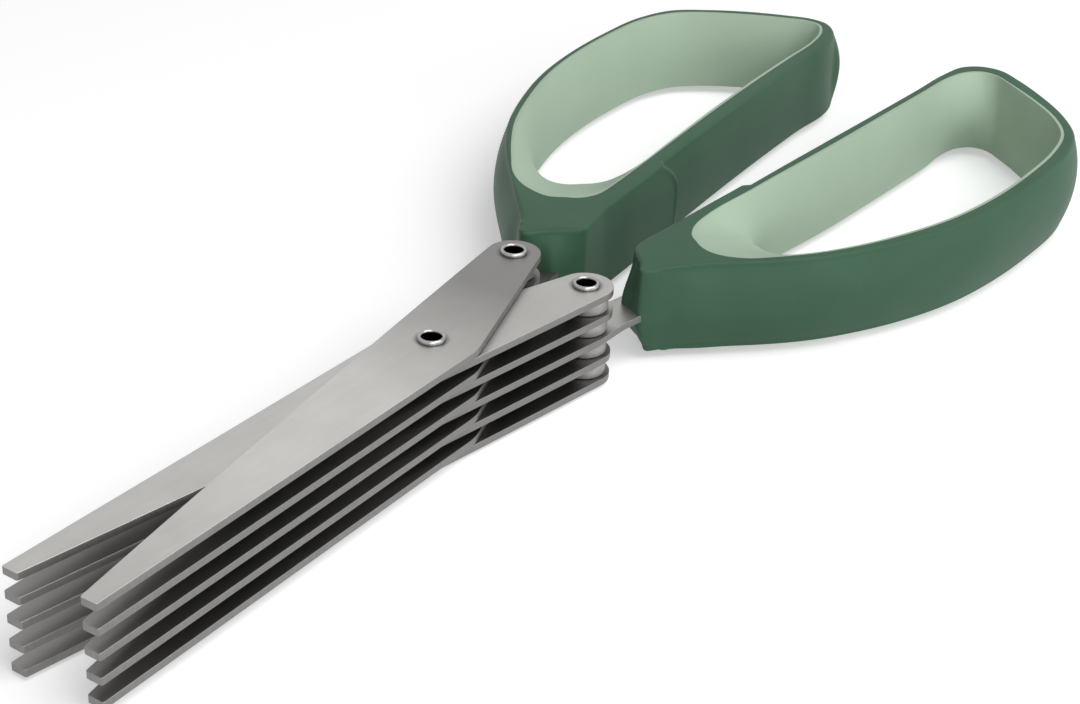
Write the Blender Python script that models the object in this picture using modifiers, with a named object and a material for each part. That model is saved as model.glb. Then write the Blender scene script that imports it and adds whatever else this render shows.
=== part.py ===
"""Herb scissors: five pairs of steel blades on one hollow pivot rivet, with two moulded handles.

Every length is in metres. The scissors lie flat, with the blade tips towards -X, the handles towards +X
and the pivot along +Z. The upper half carries the small loop on the +Y side, and in each pair its blade
lies on the blade of the lower half, which carries the large loop on the -Y side. The middle blade of
each half runs on as a tang inside its handle. The outlines are drawn about the pivot axis, with the
scissors slightly open, and at the end the whole part is moved so that its box stands centred on the
origin.
"""

import math

import bmesh
import bpy
import numpy as np
from mathutils import Matrix, Vector

# Blade plan, in the blade's own frame: x to the rear from the pivot, y to the cutting edge
BLADE_REACH = 0.0649
TIP_WIDTH = 0.0023
TIP_ROUNDING = 0.0003
SPINE_OFFSET = 0.0061
NECK_X = 0.0012
REAR_RIVET_X = 0.0256
REAR_RIVET_Y = 0.0055
REAR_RADIUS = 0.0036
EDGE_CROWN = 0.00035
HALF_TURN = math.radians(0.67)

# Blade stack
PAIRS = 5
TANG_PAIR = 3
PAIR_PITCH = 0.00312
BLADE_THICKNESS = 0.00100
BLADE_RUNNING_GAP = 0.00010
SEAT_GAP = 0.00005

# Tang of the middle blade of each half
TANG_LENGTH = 0.0225
TANG_NECK_LENGTH = 0.0050
TANG_WIDTH = 0.0056
TANG_END_ROUNDING = 0.0012
TANG_TURN = math.radians(10.0)
TANG_HOLE_RADIUS = 0.0011
TANG_HOLE_SETBACK = 0.0045

# Hollow rivets, their spacers and washers
RIVET_BORE_RADIUS = 0.00125
RIVET_SHANK_RADIUS = 0.00150
RIVET_RIM_RADIUS = 0.00180
RIVET_RIM_HEIGHT = 0.00050
RIVET_RADIAL_GAP = 0.00008
SPACER_RADIUS = 0.0030
WASHER_RADIUS = 0.0029

# Handles: both loops
HANDLE_CLEARANCE = 0.0032
HANDLE_LENGTH = 0.0966
HANDLE_HEIGHT = 0.0130
EDGE_ROUNDING = 0.00065
WALL_BULGE = 0.00110
FRONT_BULGE = 0.00170
BOW_BULGE = 0.00170
BOW_BULGE_X = 0.0520
BOW_BULGE_RUN = 0.0140
FAR_BULGE = 0.0015
FAR_FLARE = 0.0006
FAR_REACH = 0.0150
FAR_RUN = 0.0120
FRONT_RAKE = 0.0021
RAKE_RUN = 0.0090
RIM_ROUNDING_SHARE = 0.55
BOTTOM_INSET = 0.0011
FAR_INSET = 0.0003
LEAST_SWELL = 0.0003
LINER_WALL = 0.0012
LINER_LAND = 0.0002
LINER_RECESS = 0.0002
LINER_GAP = 0.0003
LARGE_LOOP_SPREAD = 0.0389
SMALL_LOOP_SPREAD = 0.0413

# Stop pads on the facing sides of the handles, near their front ends
LARGE_PAD_RISE = 0.00080
SMALL_PAD_RISE = 0.00050
LARGE_PAD_END_X = 0.0643
SMALL_PAD_END_X = 0.0632
PAD_END_RUN = 0.0018
PAD_END_BOW = 0.0051
PAD_STEP = 0.00020
PAD_FADE_X = 0.0800
PAD_FADE_RUN = 0.0400
PAD_FACING_SHARE = 0.85
PAD_FADE_SHARE = 0.10

# Tang pocket in each handle
POCKET_GAP = 0.0003
POCKET_OVERRUN = 0.0040

# Outlines of the two loops. Each row is one spoke from the outside to the finger hole, and holds three
# places: the outer edge of the rim, the edge of the liner and the throat of the hole at mid height. Each
# is x as a share of the handle's length from its front end and y as a share of the loop's spread.
LARGE_LOOP_SHARES = (
    ((0.0549, 0.1375), (0.1304, 0.2725), (0.2681, 0.3599)),
    ((0.0663, 0.1247), (0.1398, 0.2416), (0.2712, 0.3342)),
    ((0.1449, 0.1285), (0.1667, 0.2057), (0.2785, 0.3033)),
    ((0.2236, 0.1388), (0.2195, 0.1902), (0.3002, 0.2802)),
    ((0.3251, 0.1548), (0.3240, 0.2069), (0.3561, 0.2699)),
    ((0.3540, 0.1584), (0.3530, 0.2108), (0.3768, 0.2699)),
    ((0.5445, 0.1864), (0.5445, 0.2442), (0.5435, 0.2931)),
    ((0.6998, 0.2198), (0.6998, 0.2648), (0.6977, 0.3111)),
    ((0.8344, 0.2476), (0.8292, 0.2828), (0.8219, 0.3290)),
    ((0.9203, 0.2596), (0.9089, 0.2956), (0.8882, 0.3573)),
    ((0.9669, 0.2853), (0.9493, 0.3290), (0.9234, 0.3907)),
    ((0.9896, 0.3470), (0.9669, 0.3779), (0.9410, 0.4242)),
    ((0.9948, 0.4293), (0.9679, 0.4344), (0.9472, 0.4679)),
    ((0.9741, 0.5347), (0.9493, 0.5219), (0.9337, 0.5347)),
    ((0.9317, 0.6915), (0.9110, 0.6735), (0.8954, 0.6581)),
    ((0.8851, 0.8252), (0.8665, 0.8098), (0.8540, 0.7789)),
    ((0.8271, 0.9357), (0.8157, 0.9023), (0.8064, 0.8663)),
    ((0.7474, 0.9923), (0.7412, 0.9460), (0.7360, 0.9023)),
    ((0.6491, 1.0000), (0.6491, 0.9563), (0.6511, 0.9100)),
    ((0.5342, 0.9846), (0.5393, 0.9460), (0.5455, 0.8972)),
    ((0.4244, 0.9383), (0.4306, 0.9023), (0.4420, 0.8560)),
    ((0.3240, 0.8509), (0.3323, 0.8201), (0.3478, 0.7763)),
    ((0.2567, 0.7661), (0.2681, 0.7455), (0.3043, 0.6941)),
    ((0.1925, 0.6607), (0.2070, 0.6530), (0.2795, 0.6067)),
    ((0.1366, 0.5347), (0.1605, 0.5553), (0.2681, 0.5373)),
    ((0.0849, 0.3985), (0.1304, 0.4807), (0.2640, 0.4833)),
    ((0.0404, 0.3111), (0.1180, 0.4216), (0.2619, 0.4473)),
    ((0.0114, 0.2674), (0.1139, 0.3779), (0.2609, 0.4242)),
    ((0.0041, 0.2468), (0.1149, 0.3419), (0.2619, 0.4036)),
    ((0.0259, 0.2057), (0.1211, 0.3033), (0.2640, 0.3830)),
)
SMALL_LOOP_SHARES = (
    ((0.0476, 0.1186), (0.1325, 0.2639), (0.2867, 0.3995)),
    ((0.0600, 0.0981), (0.1429, 0.2252), (0.2950, 0.3850)),
    ((0.1429, 0.1138), (0.1708, 0.1913), (0.3054, 0.3680)),
    ((0.1832, 0.1211), (0.1946, 0.1889), (0.3126, 0.3559)),
    ((0.2236, 0.1283), (0.2236, 0.1925), (0.3219, 0.3438)),
    ((0.2598, 0.1366), (0.2588, 0.1985), (0.3354, 0.3293)),
    ((0.3147, 0.1477), (0.3137, 0.2094), (0.3623, 0.3087)),
    ((0.3768, 0.1598), (0.3768, 0.2228), (0.3965, 0.2918)),
    ((0.5445, 0.1930), (0.5445, 0.2567), (0.5445, 0.3027)),
    ((0.6998, 0.2228), (0.6998, 0.2809), (0.6998, 0.3245)),
    ((0.8240, 0.2421), (0.8157, 0.2930), (0.8095, 0.3390)),
    ((0.9172, 0.2506), (0.9068, 0.3027), (0.8903, 0.3487)),
    ((0.9669, 0.2930), (0.9565, 0.3341), (0.9348, 0.3729)),
    ((0.9959, 0.3632), (0.9814, 0.3801), (0.9586, 0.4044)),
    ((0.9990, 0.4358), (0.9834, 0.4358), (0.9627, 0.4455)),
    ((0.9845, 0.5327), (0.9689, 0.5278), (0.9472, 0.5230)),
    ((0.9524, 0.6925), (0.9369, 0.6804), (0.9151, 0.6707)),
    ((0.9141, 0.8257), (0.9006, 0.8136), (0.8841, 0.7869)),
    ((0.8758, 0.9274), (0.8654, 0.9031), (0.8489, 0.8644)),
    ((0.8116, 0.9855), (0.8054, 0.9613), (0.7992, 0.9177)),
    ((0.7133, 1.0000), (0.7133, 0.9782), (0.7133, 0.9322)),
    ((0.5994, 0.9903), (0.6035, 0.9685), (0.6077, 0.9249)),
    ((0.4917, 0.9516), (0.4990, 0.9298), (0.5072, 0.8862)),
    ((0.3861, 0.8741), (0.3965, 0.8547), (0.4089, 0.8136)),
    ((0.2961, 0.7797), (0.3043, 0.7627), (0.3240, 0.7119)),
    ((0.2402, 0.6925), (0.2484, 0.6828), (0.2899, 0.6368)),
    ((0.1843, 0.5908), (0.1946, 0.5932), (0.2640, 0.5666)),
    ((0.1325, 0.4843), (0.1532, 0.5157), (0.2547, 0.5109)),
    ((0.0787, 0.3753), (0.1294, 0.4358), (0.2557, 0.4722)),
    ((0.0352, 0.2881), (0.1211, 0.3753), (0.2619, 0.4479)),
    ((0.0052, 0.2470), (0.1190, 0.3366), (0.2681, 0.4334)),
    ((0.0000, 0.2252), (0.1201, 0.3123), (0.2743, 0.4213)),
    ((0.0217, 0.1816), (0.1253, 0.2881), (0.2805, 0.4116)),
)

# Fineness of the curves
SPAN_STEPS = 2
CIRCLE_STEPS = 22
ARC_STEPS = 10
CROWN_STEPS = 6
RIM_STEPS = 5

# Heights within a handle, as shares of its half height, where the barrel wall and the liner have a ring
WALL_LEVEL_SHARES = (0.5, 0.0, -0.5)
LINER_LEVEL_SHARES = (1.0, 0.75, 0.4, 0.0, -0.4, -0.75, -1.0)
FILLET_TURN_SHARES = (0.0, 0.5, 1.0)

STEEL_COLOUR = (0.56, 0.55, 0.53, 1.0)
RIM_COLOUR = (0.70, 0.69, 0.67, 1.0)
SPACER_COLOUR = (0.36, 0.355, 0.345, 1.0)
SHELL_COLOUR = (0.065, 0.130, 0.098, 1.0)
LINER_COLOUR = (0.33, 0.44, 0.345, 1.0)

# The handles start a clearance behind the round rear ends of the blades
HANDLE_START = REAR_RIVET_X + REAR_RADIUS + HANDLE_CLEARANCE
HANDLE_END = HANDLE_START + HANDLE_LENGTH

# Heights that follow from the stack, measured from the face that the lowest rims rest on
PAIR_HEIGHT = 2 * BLADE_THICKNESS + BLADE_RUNNING_GAP
STACK_HEIGHT = (PAIRS - 1) * PAIR_PITCH + PAIR_HEIGHT
RIM_SEAT = RIVET_RIM_HEIGHT + SEAT_GAP
STACK_TOP = RIM_SEAT + STACK_HEIGHT
STACK_MIDDLE = RIM_SEAT + STACK_HEIGHT / 2

UPPER, LOWER = 1, -1


def clear_scene():
    """Removes every object that the scene starts with."""
    for old in list(bpy.data.objects):
        bpy.data.objects.remove(old, do_unlink=True)


def new_collection(name):
    """A collection under the scene's own, for the parts or the cutters."""
    made = bpy.data.collections.new(name)
    bpy.context.scene.collection.children.link(made)
    return made


def new_material(name, colour, roughness, metallic):
    """A plain Principled finish."""
    made = bpy.data.materials.new(name)
    made.use_nodes = True
    shader = made.node_tree.nodes["Principled BSDF"]
    shader.inputs["Base Color"].default_value = colour
    shader.inputs["Roughness"].default_value = roughness
    shader.inputs["Metallic"].default_value = metallic
    made.diffuse_color = colour
    return made


def new_empty(name, parts, parent=None):
    """An empty that carries pieces, on the pivot axis."""
    made = bpy.data.objects.new(name, None)
    parts.objects.link(made)
    made.parent = parent
    return made


def new_piece(name, mesh, finish, parent, parts):
    """One named sub-part under its half's empty."""
    made = bpy.data.objects.new(name, mesh)
    mesh.materials.clear()
    mesh.materials.append(finish)
    parts.objects.link(made)
    made.parent = parent
    return made


def mesh_of(bm, name):
    """Closes a bmesh into mesh data with its normals pointing out."""
    bmesh.ops.recalc_face_normals(bm, faces=bm.faces)
    mesh = bpy.data.meshes.new(name)
    bm.to_mesh(mesh)
    bm.free()
    return mesh


def unit(direction):
    """Rows of a direction array, each at length one."""
    return direction / np.linalg.norm(direction, axis=-1, keepdims=True)


def tangent_point(start, centre, radius, side):
    """Where a line from start touches a circle, on its left (+1) or right (-1) seen along the line."""
    across = np.subtract(centre, start)
    distance = np.hypot(*across)
    lean = math.atan2(across[1], across[0]) + side * math.asin(radius / distance)
    run = math.sqrt(distance**2 - radius**2)
    return np.add(start, (run * math.cos(lean), run * math.sin(lean)))


def arc(centre, radius, first, last, steps):
    """Points on a circle from one angle to another."""
    return [
        (centre[0] + radius * math.cos(turn), centre[1] + radius * math.sin(turn))
        for turn in np.linspace(first, last, steps)
    ]


def rounded_corner(corner, before, after, reach):
    """Three points that take the point off a corner, reach away from it on either side."""
    corner, before, after = map(np.asarray, (corner, before, after))
    near = corner + unit(before - corner) * reach
    far = corner + unit(after - corner) * reach
    middle = (near + far + corner * 2) / 4
    return [tuple(near), tuple(middle), tuple(far)]


def cutting_edge(rear, tip):
    """The edge from the rear round to the tip, a line with a slight even crown."""
    rear, tip = np.asarray(rear), np.asarray(tip)
    along = unit(tip - rear)
    outward = np.array((along[1], -along[0]))
    shares = np.linspace(0, 1, CROWN_STEPS + 1)[1:-1]
    return [tuple(rear + (tip - rear) * s + outward * EDGE_CROWN * 4 * s * (1 - s)) for s in shares]


def tang_run():
    """Outline of the tang behind the rear rivet, from its inner side round its end to its outer side."""
    centre = np.array((REAR_RIVET_X, REAR_RIVET_Y))
    turn = TANG_TURN - HALF_TURN
    along = np.array((math.cos(turn), math.sin(turn)))
    across = np.array((-along[1], along[0]))
    half = TANG_WIDTH / 2

    def place(run, offset):
        return centre + along * run + across * offset

    end_inner = rounded_corner(
        place(TANG_LENGTH, -half), place(TANG_NECK_LENGTH, -half), place(TANG_LENGTH, half), TANG_END_ROUNDING
    )
    end_outer = rounded_corner(
        place(TANG_LENGTH, half), place(TANG_LENGTH, -half), place(TANG_NECK_LENGTH, half), TANG_END_ROUNDING
    )
    return [
        tuple(place(0, -REAR_RADIUS)),
        tuple(place(TANG_NECK_LENGTH, -half)),
        *end_inner,
        *end_outer,
        tuple(place(TANG_NECK_LENGTH, half)),
        tuple(place(0, REAR_RADIUS)),
    ]


def blade_outline(with_tang):
    """The blade's closed outline in its own frame, with the spine parallel to x."""
    tip_spine = (-BLADE_REACH, -SPINE_OFFSET)
    tip_edge = (-BLADE_REACH, TIP_WIDTH - SPINE_OFFSET)
    neck = (NECK_X, -SPINE_OFFSET)
    centre = (REAR_RIVET_X, REAR_RIVET_Y)
    inner = tangent_point(neck, centre, REAR_RADIUS, -1)
    outer = tangent_point(tip_edge, centre, REAR_RADIUS, 1)
    if with_tang:
        rear = [tuple(inner), *tang_run(), tuple(outer)]
    else:
        first = math.atan2(inner[1] - centre[1], inner[0] - centre[0])
        last = math.atan2(outer[1] - centre[1], outer[0] - centre[0])
        rear = arc(centre, REAR_RADIUS, first, last, ARC_STEPS)
    return [
        *rounded_corner(tip_spine, tip_edge, neck, TIP_ROUNDING),
        neck,
        *rear,
        *cutting_edge(outer, tip_edge),
        *rounded_corner(tip_edge, outer, tip_spine, TIP_ROUNDING),
    ]


def turned_into_place(points, side):
    """Blade-frame points in the part's plan: turned to the rest pose, and mirrored for the lower half."""
    cos, sin = math.cos(HALF_TURN), math.sin(HALF_TURN)
    return [(x * cos - y * sin, side * (x * sin + y * cos)) for x, y in points]


def flat_plate(name, outlines, thickness):
    """A plate of even thickness from one closed outline and the holes inside it, lying under z = 0."""
    curve = bpy.data.curves.new(name, "CURVE")
    curve.dimensions = "2D"
    curve.fill_mode = "BOTH"
    curve.extrude = thickness / 2
    for points in outlines:
        spline = curve.splines.new("POLY")
        spline.points.add(len(points) - 1)
        for vertex, (x, y) in zip(spline.points, points):
            vertex.co = (x, y, 0, 1)
        spline.use_cyclic_u = True
    drawn = bpy.data.objects.new(name, curve)
    bpy.context.scene.collection.objects.link(drawn)
    bpy.context.view_layer.update()
    mesh = bpy.data.meshes.new_from_object(drawn.evaluated_get(bpy.context.evaluated_depsgraph_get()))
    bpy.data.objects.remove(drawn)
    bpy.data.curves.remove(curve)
    bm = bmesh.new()
    bm.from_mesh(mesh)
    bmesh.ops.remove_doubles(bm, verts=bm.verts, dist=SEAT_GAP / 10)
    bmesh.ops.translate(bm, verts=bm.verts, vec=(0, 0, -thickness / 2))
    bpy.data.meshes.remove(mesh)
    return mesh_of(bm, name)


def blade_mesh(name, side, with_tang):
    """One blade with its pivot hole and its rear rivet hole."""
    hole = RIVET_SHANK_RADIUS + RIVET_RADIAL_GAP
    full = 2 * math.pi * (1 - 1 / CIRCLE_STEPS)
    outlines = [blade_outline(with_tang), arc((0, 0), hole, 0, full, CIRCLE_STEPS)]
    outlines.append(arc((REAR_RIVET_X, REAR_RIVET_Y), hole, 0, full, CIRCLE_STEPS))
    if with_tang:
        turn = TANG_TURN - HALF_TURN
        run = TANG_LENGTH - TANG_HOLE_SETBACK
        centre = (REAR_RIVET_X + run * math.cos(turn), REAR_RIVET_Y + run * math.sin(turn))
        outlines.append(arc(centre, TANG_HOLE_RADIUS, 0, full, CIRCLE_STEPS))
    return flat_plate(name, [turned_into_place(points, side) for points in outlines], BLADE_THICKNESS)


def turned_piece(name, profile, place, finish, parent, parts):
    """A closed profile of (radius, height) points, listed from the outside downwards, turned about z."""
    mesh = bpy.data.meshes.new(name)
    count = len(profile)
    edges = [(i, (i + 1) % count) for i in range(count)]
    mesh.from_pydata([(radius, 0, height) for radius, height in profile], edges, [])
    piece = new_piece(name, mesh, finish, parent, parts)
    piece.location = place
    turn = piece.modifiers.new("turn", "SCREW")
    turn.angle = 2 * math.pi
    turn.steps = turn.render_steps = CIRCLE_STEPS
    turn.use_merge_vertices = True
    turn.merge_threshold = SEAT_GAP / 10
    return piece


def ring(name, outer, inner, low, high, place, finish, parent, parts):
    """A flat ring, such as a spacer or a washer."""
    profile = [(outer, high), (outer, low), (inner, low), (inner, high)]
    return turned_piece(name, profile, place, finish, parent, parts)


def hollow_rivet(name, place, low, high, finish, parent, parts):
    """A tube through blades that lie from low to high, whose two ends are rolled over into round rims."""
    half_width = (RIVET_RIM_RADIUS - RIVET_BORE_RADIUS) / 2
    middle = RIVET_BORE_RADIUS + half_width

    def rim(seat, outward):
        turns = np.linspace(0, math.pi, RIM_STEPS)
        return [
            (middle + half_width * math.cos(turn), seat + outward * RIVET_RIM_HEIGHT * math.sin(turn))
            for turn in turns
        ]

    top_seat = high + SEAT_GAP
    bottom_seat = low - SEAT_GAP
    profile = [
        (RIVET_SHANK_RADIUS, top_seat),
        (RIVET_SHANK_RADIUS, bottom_seat),
        *rim(bottom_seat, -1),
        *reversed(rim(top_seat, 1)),
    ]
    return turned_piece(name, profile, place, finish, parent, parts)


def closed_curve(points):
    """A smooth closed curve through the points, SPAN_STEPS stations to each span between two of them."""
    before, after = np.roll(points, 1, axis=0), np.roll(points, -1, axis=0)
    gap = np.linalg.norm(after - points, axis=1, keepdims=True)
    gap_before = np.roll(gap, 1, axis=0)
    slope = ((after - points) / gap * gap_before + (points - before) / gap_before * gap) / (gap + gap_before)
    slope_after = np.roll(slope, -1, axis=0)
    stations = []
    for share in np.arange(SPAN_STEPS) / SPAN_STEPS:
        rise = share * share * (3 - 2 * share)
        leave = share * (1 - share) ** 2
        arrive = share * share * (1 - share)
        stations.append(points * (1 - rise) + after * rise + gap * (slope * leave - slope_after * arrive))
    return np.stack(stations, axis=1).reshape(-1, 2)


def smooth_step(value):
    """From 0 to 1 with level ends."""
    value = np.clip(value, 0, 1)
    return value * value * (3 - 2 * value)


class Loop:
    """The plan of one handle: its outer edge, its liner edge and its throat, station by station."""

    def __init__(self, shares, spread, pad_rise, pad_end, side):
        places = np.array(shares) * (HANDLE_LENGTH, side * spread) + (HANDLE_START, 0)
        if side == UPPER:
            places = places[::-1]
        self.outer, self.edge, throat = (closed_curve(places[:, k]) for k in range(3))
        along = np.roll(self.outer, -1, axis=0) - np.roll(self.outer, 1, axis=0)
        self.outward = unit(np.stack([-along[:, 1], along[:, 0]], axis=1))
        self.inward = unit(throat - self.edge)
        facing = self.outward[:, 1] * -side
        self.mating = smooth_step((facing - PAD_FACING_SHARE) / PAD_FADE_SHARE)
        near = smooth_step((BOW_BULGE_X + BOW_BULGE_RUN - self.outer[:, 0]) / BOW_BULGE_RUN)
        front = near * smooth_step(2 * facing) * (1 - self.mating)
        bow = near * smooth_step(-2 * facing)
        far = smooth_step((self.outer[:, 0] - HANDLE_END + FAR_REACH) / FAR_RUN)
        self.bulge = (
            WALL_BULGE
            + (FRONT_BULGE - WALL_BULGE) * front
            + (BOW_BULGE - WALL_BULGE) * bow
            + (FAR_BULGE - WALL_BULGE) * far
        )
        self.pad_end = pad_end
        self.step = pad_rise * self.mating * smooth_step(1 - (self.outer[:, 0] - PAD_FADE_X) / PAD_FADE_RUN)
        self.bulge += (pad_rise - PAD_STEP - self.bulge) * self.mating
        self.flare = FAR_FLARE * far
        self.inset = BOTTOM_INSET + (FAR_INSET - BOTTOM_INSET) * far
        reach = np.linalg.norm(throat - self.edge, axis=1)
        self.swell = np.maximum(reach - LINER_GAP - LINER_LAND - self.inset / 2, LEAST_SWELL)
        rim_width = np.sum((self.outer - self.edge) * self.outward, axis=1) - self.step
        self.rounding = np.minimum(EDGE_ROUNDING, RIM_ROUNDING_SHARE * rim_width)
        self.rake = FRONT_RAKE * smooth_step((HANDLE_START + RAKE_RUN - self.outer[:, 0]) / RAKE_RUN)

    def wall(self, height):
        """Plan of the outer wall at a share of the half height: a barrel, with a flat pad on the mating side.

        The pad's end bows away from the blades from the rim down to mid height. Below mid height the front
        end leans back and the far end flares out.
        """
        arch = 1 - height**2
        low = min(height, 0) ** 2
        barrel = self.bulge * arch - self.step
        pad_line = self.pad_end + PAD_END_BOW * (1 - max(height, 0) ** 2)
        past_pad = smooth_step((self.outer[:, 0] - pad_line) / PAD_END_RUN)
        swelling = np.maximum(barrel, -self.step * past_pad) + self.flare * low
        plan = self.outer + self.outward * swelling[:, None]
        plan[:, 0] += self.rake * low
        return plan

    def rim(self, height):
        """The edge that the liner starts from, as a level ring."""
        return np.column_stack([self.edge, np.full(len(self.edge), height)])

    def face(self, level, backing=0.0, least=0.0):
        """A ring of the liner's bare face at a share of its half height, or of a surface at a depth behind it."""
        half = HANDLE_HEIGHT / 2 - LINER_RECESS
        reach = LINER_GAP + LINER_LAND + self.inset * (1 - level) / 2 + self.swell * (1 - level**2)
        lean = self.inset / 2 + 2 * self.swell * level
        length = np.hypot(half, lean)
        reach = np.maximum(reach - backing * half / length, least)
        height = half * level - backing * lean / length
        return np.column_stack([self.edge + self.inward * reach[:, None], height])


def lofted_loop(name, rings):
    """A closed band through rings of stations about the middle of the stack, the last joined to the first.

    Each patch is split along the same diagonal, so that two bands with matching rings keep their distance.
    """
    count = len(rings[0])
    bm = bmesh.new()
    rows = [[bm.verts.new((x, y, STACK_MIDDLE + z)) for x, y, z in stations] for stations in rings]
    for row, following in zip(rows, rows[1:] + rows[:1]):
        for i in range(count):
            j = (i + 1) % count
            bm.faces.new((row[i], row[j], following[j]))
            bm.faces.new((row[i], following[j], following[i]))
    return mesh_of(bm, name)


def rounded_edge(loop, side):
    """Rings of the rounding between the wall and the rim, from the rim to the wall on the given side."""
    lip = loop.wall(side)
    rings = []
    for share in FILLET_TURN_SHARES:
        turn = share * math.pi / 2
        plan = lip - loop.outward * loop.rounding[:, None] * (1 - math.sin(turn))
        height = side * (HANDLE_HEIGHT / 2 - loop.rounding * (1 - math.cos(turn)))
        rings.append(np.column_stack([plan, height]))
    return rings


def shell_mesh(name, loop):
    """The hard green shell: flat rims, rounded edges, a barrel wall outside and a rebate for the liner."""
    half = HANDLE_HEIGHT / 2
    straight = half - EDGE_ROUNDING
    wall = [loop.wall(level) for level in WALL_LEVEL_SHARES]
    heights = [np.full(len(loop.outer), straight * level) for level in WALL_LEVEL_SHARES]
    backing = LINER_WALL + LINER_GAP
    return lofted_loop(
        name,
        [
            loop.rim(half),
            *rounded_edge(loop, 1),
            *[np.column_stack(pair) for pair in zip(wall, heights)],
            *reversed(rounded_edge(loop, -1)),
            loop.rim(-half),
            *[loop.face(-level, backing) for level in LINER_LEVEL_SHARES],
        ],
    )


def liner_mesh(name, loop):
    """The soft liner: it fills the shell's rebate and swells to the throat at mid height."""
    half = HANDLE_HEIGHT / 2 - LINER_RECESS
    top, bottom = loop.rim(half), loop.rim(-half)
    for ring in (top, bottom):
        ring[:, :2] += loop.inward * LINER_GAP
    backed = [loop.face(-level, LINER_WALL, LINER_GAP) for level in LINER_LEVEL_SHARES]
    bare = [loop.face(level) for level in LINER_LEVEL_SHARES]
    return lofted_loop(name, [bottom, *backed, top, *bare])


def pocket_cutter(name, side, cutters):
    """The tang's shape with room around it, run out past the handle's front face."""
    turn = side * TANG_TURN
    along = Vector((math.cos(turn), math.sin(turn), 0))
    plan = turned_into_place([(REAR_RIVET_X, REAR_RIVET_Y)], side)[0]
    start = Vector((plan[0], plan[1], 0)) + along * POCKET_OVERRUN
    length = TANG_LENGTH + POCKET_GAP - POCKET_OVERRUN
    width = TANG_WIDTH + 2 * POCKET_GAP
    tall = BLADE_THICKNESS + 2 * POCKET_GAP
    centre = start + along * length / 2
    centre.z = blade_top(side, TANG_PAIR) - BLADE_THICKNESS / 2
    bm = bmesh.new()
    size = Matrix.Diagonal((length, width, tall, 1))
    bmesh.ops.create_cube(bm, size=1, matrix=Matrix.Translation(centre) @ Matrix.Rotation(turn, 4, "Z") @ size)
    made = bpy.data.objects.new(name, mesh_of(bm, name))
    cutters.objects.link(made)
    made.hide_render = True
    made.display_type = "WIRE"
    return made


def blade_top(side, pair):
    """Height of a blade's upper face. Pairs are counted from the top."""
    top = STACK_TOP - (pair - 1) * PAIR_PITCH
    return top if side == UPPER else top - BLADE_THICKNESS - BLADE_RUNNING_GAP


def rear_rivet_place(side):
    """Plan of a half's rear rivet."""
    x, y = turned_into_place([(REAR_RIVET_X, REAR_RIVET_Y)], side)[0]
    return Vector((x, y, 0))


def build_half(prefix, side, finishes, parent, parts):
    """The blades, the rear rivet and the spacers of one half."""
    meshes = {tang: blade_mesh(f"{prefix}_blade_mesh", side, tang) for tang in (False, True)}
    for pair in range(1, PAIRS + 1):
        mesh = meshes[pair == TANG_PAIR]
        blade = new_piece(f"{prefix}_blade_{pair}", mesh, finishes["steel"], parent, parts)
        blade.location = (0, 0, blade_top(side, pair))
    rear = rear_rivet_place(side)
    low, high = blade_top(side, PAIRS) - BLADE_THICKNESS, blade_top(side, 1)
    hollow_rivet(f"{prefix}_rear_rivet", rear, low, high, finishes["rim"], parent, parts)
    inner = RIVET_SHANK_RADIUS + RIVET_RADIAL_GAP
    for pair in range(1, PAIRS):
        high = blade_top(side, pair) - BLADE_THICKNESS - SEAT_GAP
        low = blade_top(side, pair + 1) + SEAT_GAP
        name = f"{prefix}_spacer_{pair}"
        ring(name, SPACER_RADIUS, inner, low, high, rear, finishes["spacer"], parent, parts)


def build_handle(prefix, shares, spread, pad_rise, pad_end, side, finishes, parent, parts, cutters):
    """One moulded handle: the hard shell with its tang pocket, and the soft liner in its loop."""
    loop = Loop(shares, spread, pad_rise, pad_end, side)
    shell = new_piece(f"{prefix}_handle_shell", shell_mesh(f"{prefix}_shell", loop), finishes["shell"], parent, parts)
    cutter = pocket_cutter(f"{prefix}_tang_pocket", side, cutters)
    cutter.parent = parent
    cut = shell.modifiers.new("tang pocket", "BOOLEAN")
    cut.operation = "DIFFERENCE"
    cut.solver = "EXACT"
    cut.object = cutter
    new_piece(f"{prefix}_handle_liner", liner_mesh(f"{prefix}_liner", loop), finishes["liner"], parent, parts)


def build_pivot(finishes, parent, parts):
    """The pivot rivet and the washers that keep the pairs apart."""
    axis = Vector((0, 0, 0))
    hollow_rivet("pivot_rivet", axis, RIM_SEAT, STACK_TOP, finishes["rim"], parent, parts)
    inner = RIVET_SHANK_RADIUS + RIVET_RADIAL_GAP
    for pair in range(1, PAIRS):
        high = blade_top(LOWER, pair) - BLADE_THICKNESS - SEAT_GAP
        low = blade_top(UPPER, pair + 1) + SEAT_GAP
        ring(f"pivot_washer_{pair}", WASHER_RADIUS, inner, low, high, axis, finishes["spacer"], parent, parts)


def centre_on_origin(root, parts):
    """Moves the whole part so that its box is centred over the origin in plan."""
    bpy.context.view_layer.update()
    graph = bpy.context.evaluated_depsgraph_get()
    corners = [
        piece.matrix_world @ Vector(corner)
        for piece in parts.objects
        if piece.type == "MESH"
        for corner in piece.evaluated_get(graph).bound_box
    ]
    for axis in (0, 1):
        values = [corner[axis] for corner in corners]
        root.location[axis] -= (min(values) + max(values)) / 2


def shade(parts):
    """Smooth shading on every piece, with the sharp edges kept."""
    for piece in parts.objects:
        if piece.type == "MESH":
            piece.data.shade_smooth()
            piece.data.set_sharp_from_angle(angle=math.radians(35))


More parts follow.
